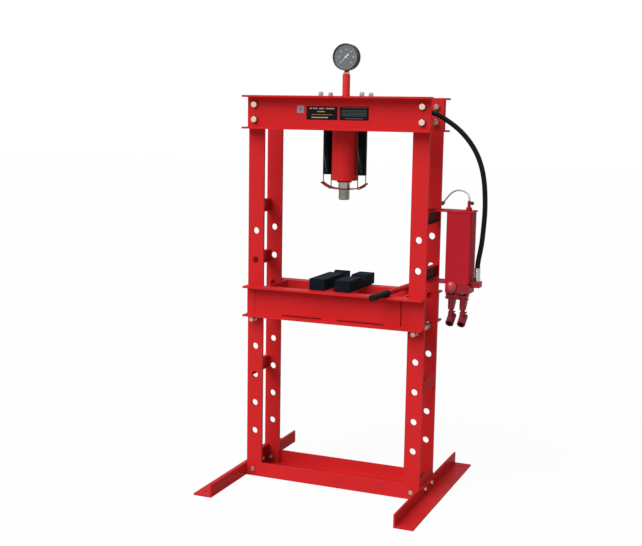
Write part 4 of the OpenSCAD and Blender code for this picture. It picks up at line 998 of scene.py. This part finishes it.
# %% Tank and pump body
for node, edge in (("tank", 1.0), ("pump_bracket_top", 0.9), ("pump_bracket_bottom", 0.9),
                   ("plunger_low", 0.4), ("plunger_high", 0.4)):
    soften(node, edge)
# The levers and the pump body are painted darker than the tank: painted shade among the small
# parts.
lever_shade_enamel = coat("satin enamel, crimson, darkened as painted shade", "#85272E", "#752127",
                   4, 0.05, (0.40, 0.52), patch=60, specular=0.12)
body_shade_enamel = coat("satin enamel on a casting, dark crimson", "#9C2731", "#8C2029",
                   3, 0.08, (0.42, 0.55), patch=60, specular=0.12)
soften("pump_body", 2.0, body_shade_enamel)
for lever in ("lever_low", "lever_high"):
    soften(lever, 0.8, lever_shade_enamel)
soften("vent_tube_clip", 0.5, coat("moulded grey plastic", "#54585A", "#484C4E",
                                   0.8, 0.02, (0.45, 0.6), patch=20, specular=0.2))
print("tank: 102 x 86 x 283 mm")

# %% Seams, brackets and sockets
# The seam follows the tank's outline: four quarter circles about the centres of its corners.
TANK_X, CORNER_X, CORNER_Y, SEAM_RADIUS = 508, 45, 37, 6.4
quarter = np.radians(np.arange(0, 91, 15))
rim = []
for sx, sy, start in ((1, 1, 0), (-1, 1, np.pi / 2), (-1, -1, np.pi), (1, -1, 3 * np.pi / 2)):
    rim += zip((TANK_X + sx * CORNER_X + SEAM_RADIUS * np.cos(quarter + start)).tolist(),
               (sy * CORNER_Y + SEAM_RADIUS * np.sin(quarter + start)).tolist())
seams = [weld([(x, y, z) for x, y in rim], 1.5, True, Z_AXIS) for z in (1192.6, 910.4)]
piece("tank_seam_beads", seams, "pump_red")
brackets = [weld([(395.6, 43, z), (395.6, -43, z)], 2.0, up=Z_AXIS) for z in (1200, 903)]
piece("bracket_beads", brackets, "pump_red")
# A thin black sleeve inside each lever's socket is painted shade in the bore.
socket_way = (0, -np.cos(np.radians(35)), -np.sin(np.radians(35)))
bore_shade = [(11.15, -12.9), (11.15, 24.6), (10.95, 24.6), (10.95, -12.4)]
for lever, x in (("lever_low", 483), ("lever_high", 531)):
    piece(lever + "_socket_painted_shade", [turned(bore_shade, (x, -20, 756), socket_way, 40)], "black_iron",
          lever)
print("points round the tank's seam:", len(rim))

# %% Vent valve and its knob
valve = [(6.8, 1187), (6.8, 1199), (11.2, 1199), (12, 1199.8), (12, 1210.8), (10.8, 1212),
         (7, 1212.4), (7, 1219), (6.2, 1220), (6.2, 1222), (7, 1223), (7, 1236.8), (6, 1238)]
dress("vent_valve", "vent_valve_painted", [turned(valve, (537, 0, 0))])
# The knob lies along X. Its radius drops by a twentieth in 15 grooves.
KNOB_X, KNOB_Z, GRIPS = 545, 1229, 15
u = full_turn(60)
petals = 1 - 0.05 * (np.cos(GRIPS * u) > 0.2)
radius, depth = np.array([(6.0, 0), (7, 0.9), (7, 9), (6.0, 10)]).T[:, :, None]
knob = np.stack([KNOB_X + depth + 0 * u, radius * petals * np.cos(u),
                 KNOB_Z + radius * petals * np.sin(u)], -1).reshape(-1, 3)
spindle = turned([(2.45, 539), (2.45, 551)], (0, 0, KNOB_Z), X_AXIS, 24)
dress("vent_knob", "vent_knob_black", [(knob, grid_faces(4, 60)), spindle])
print("vent knob:", GRIPS, "grips")

# %% Release knob and pivot pin
RELEASE = (487, -46, 894)
DOME_RADIUS = 27.28
dome = [(8, 0), (21, 0), (22, -1), (22, -5)]
dome += [(DOME_RADIUS * np.sin(t), 11 - DOME_RADIUS * np.cos(t))
         for t in np.radians(np.linspace(53, 3, 14))]
stem = [(3.9, -1), (3.9, 17)]
gloss_enamel = coat("gloss enamel, crimson", "#C42834", "#B4222F", 4, 0.02, (0.16, 0.24))
dress("release_knob", "release_knob_dome", [
    turned(dome, RELEASE, Y_AXIS, 64), turned(stem, RELEASE, Y_AXIS, 24)], gloss_enamel)
pivot = [(9, 457), (10, 458), (10, 461), (7.5, 461), (7.5, 552.8), (6.8, 553.5)]
dress("lever_pivot_pin", "lever_pivot_zinc", [turned(pivot, (0, -20, 850), X_AXIS, 40)])
print("release knob: 44 mm across")
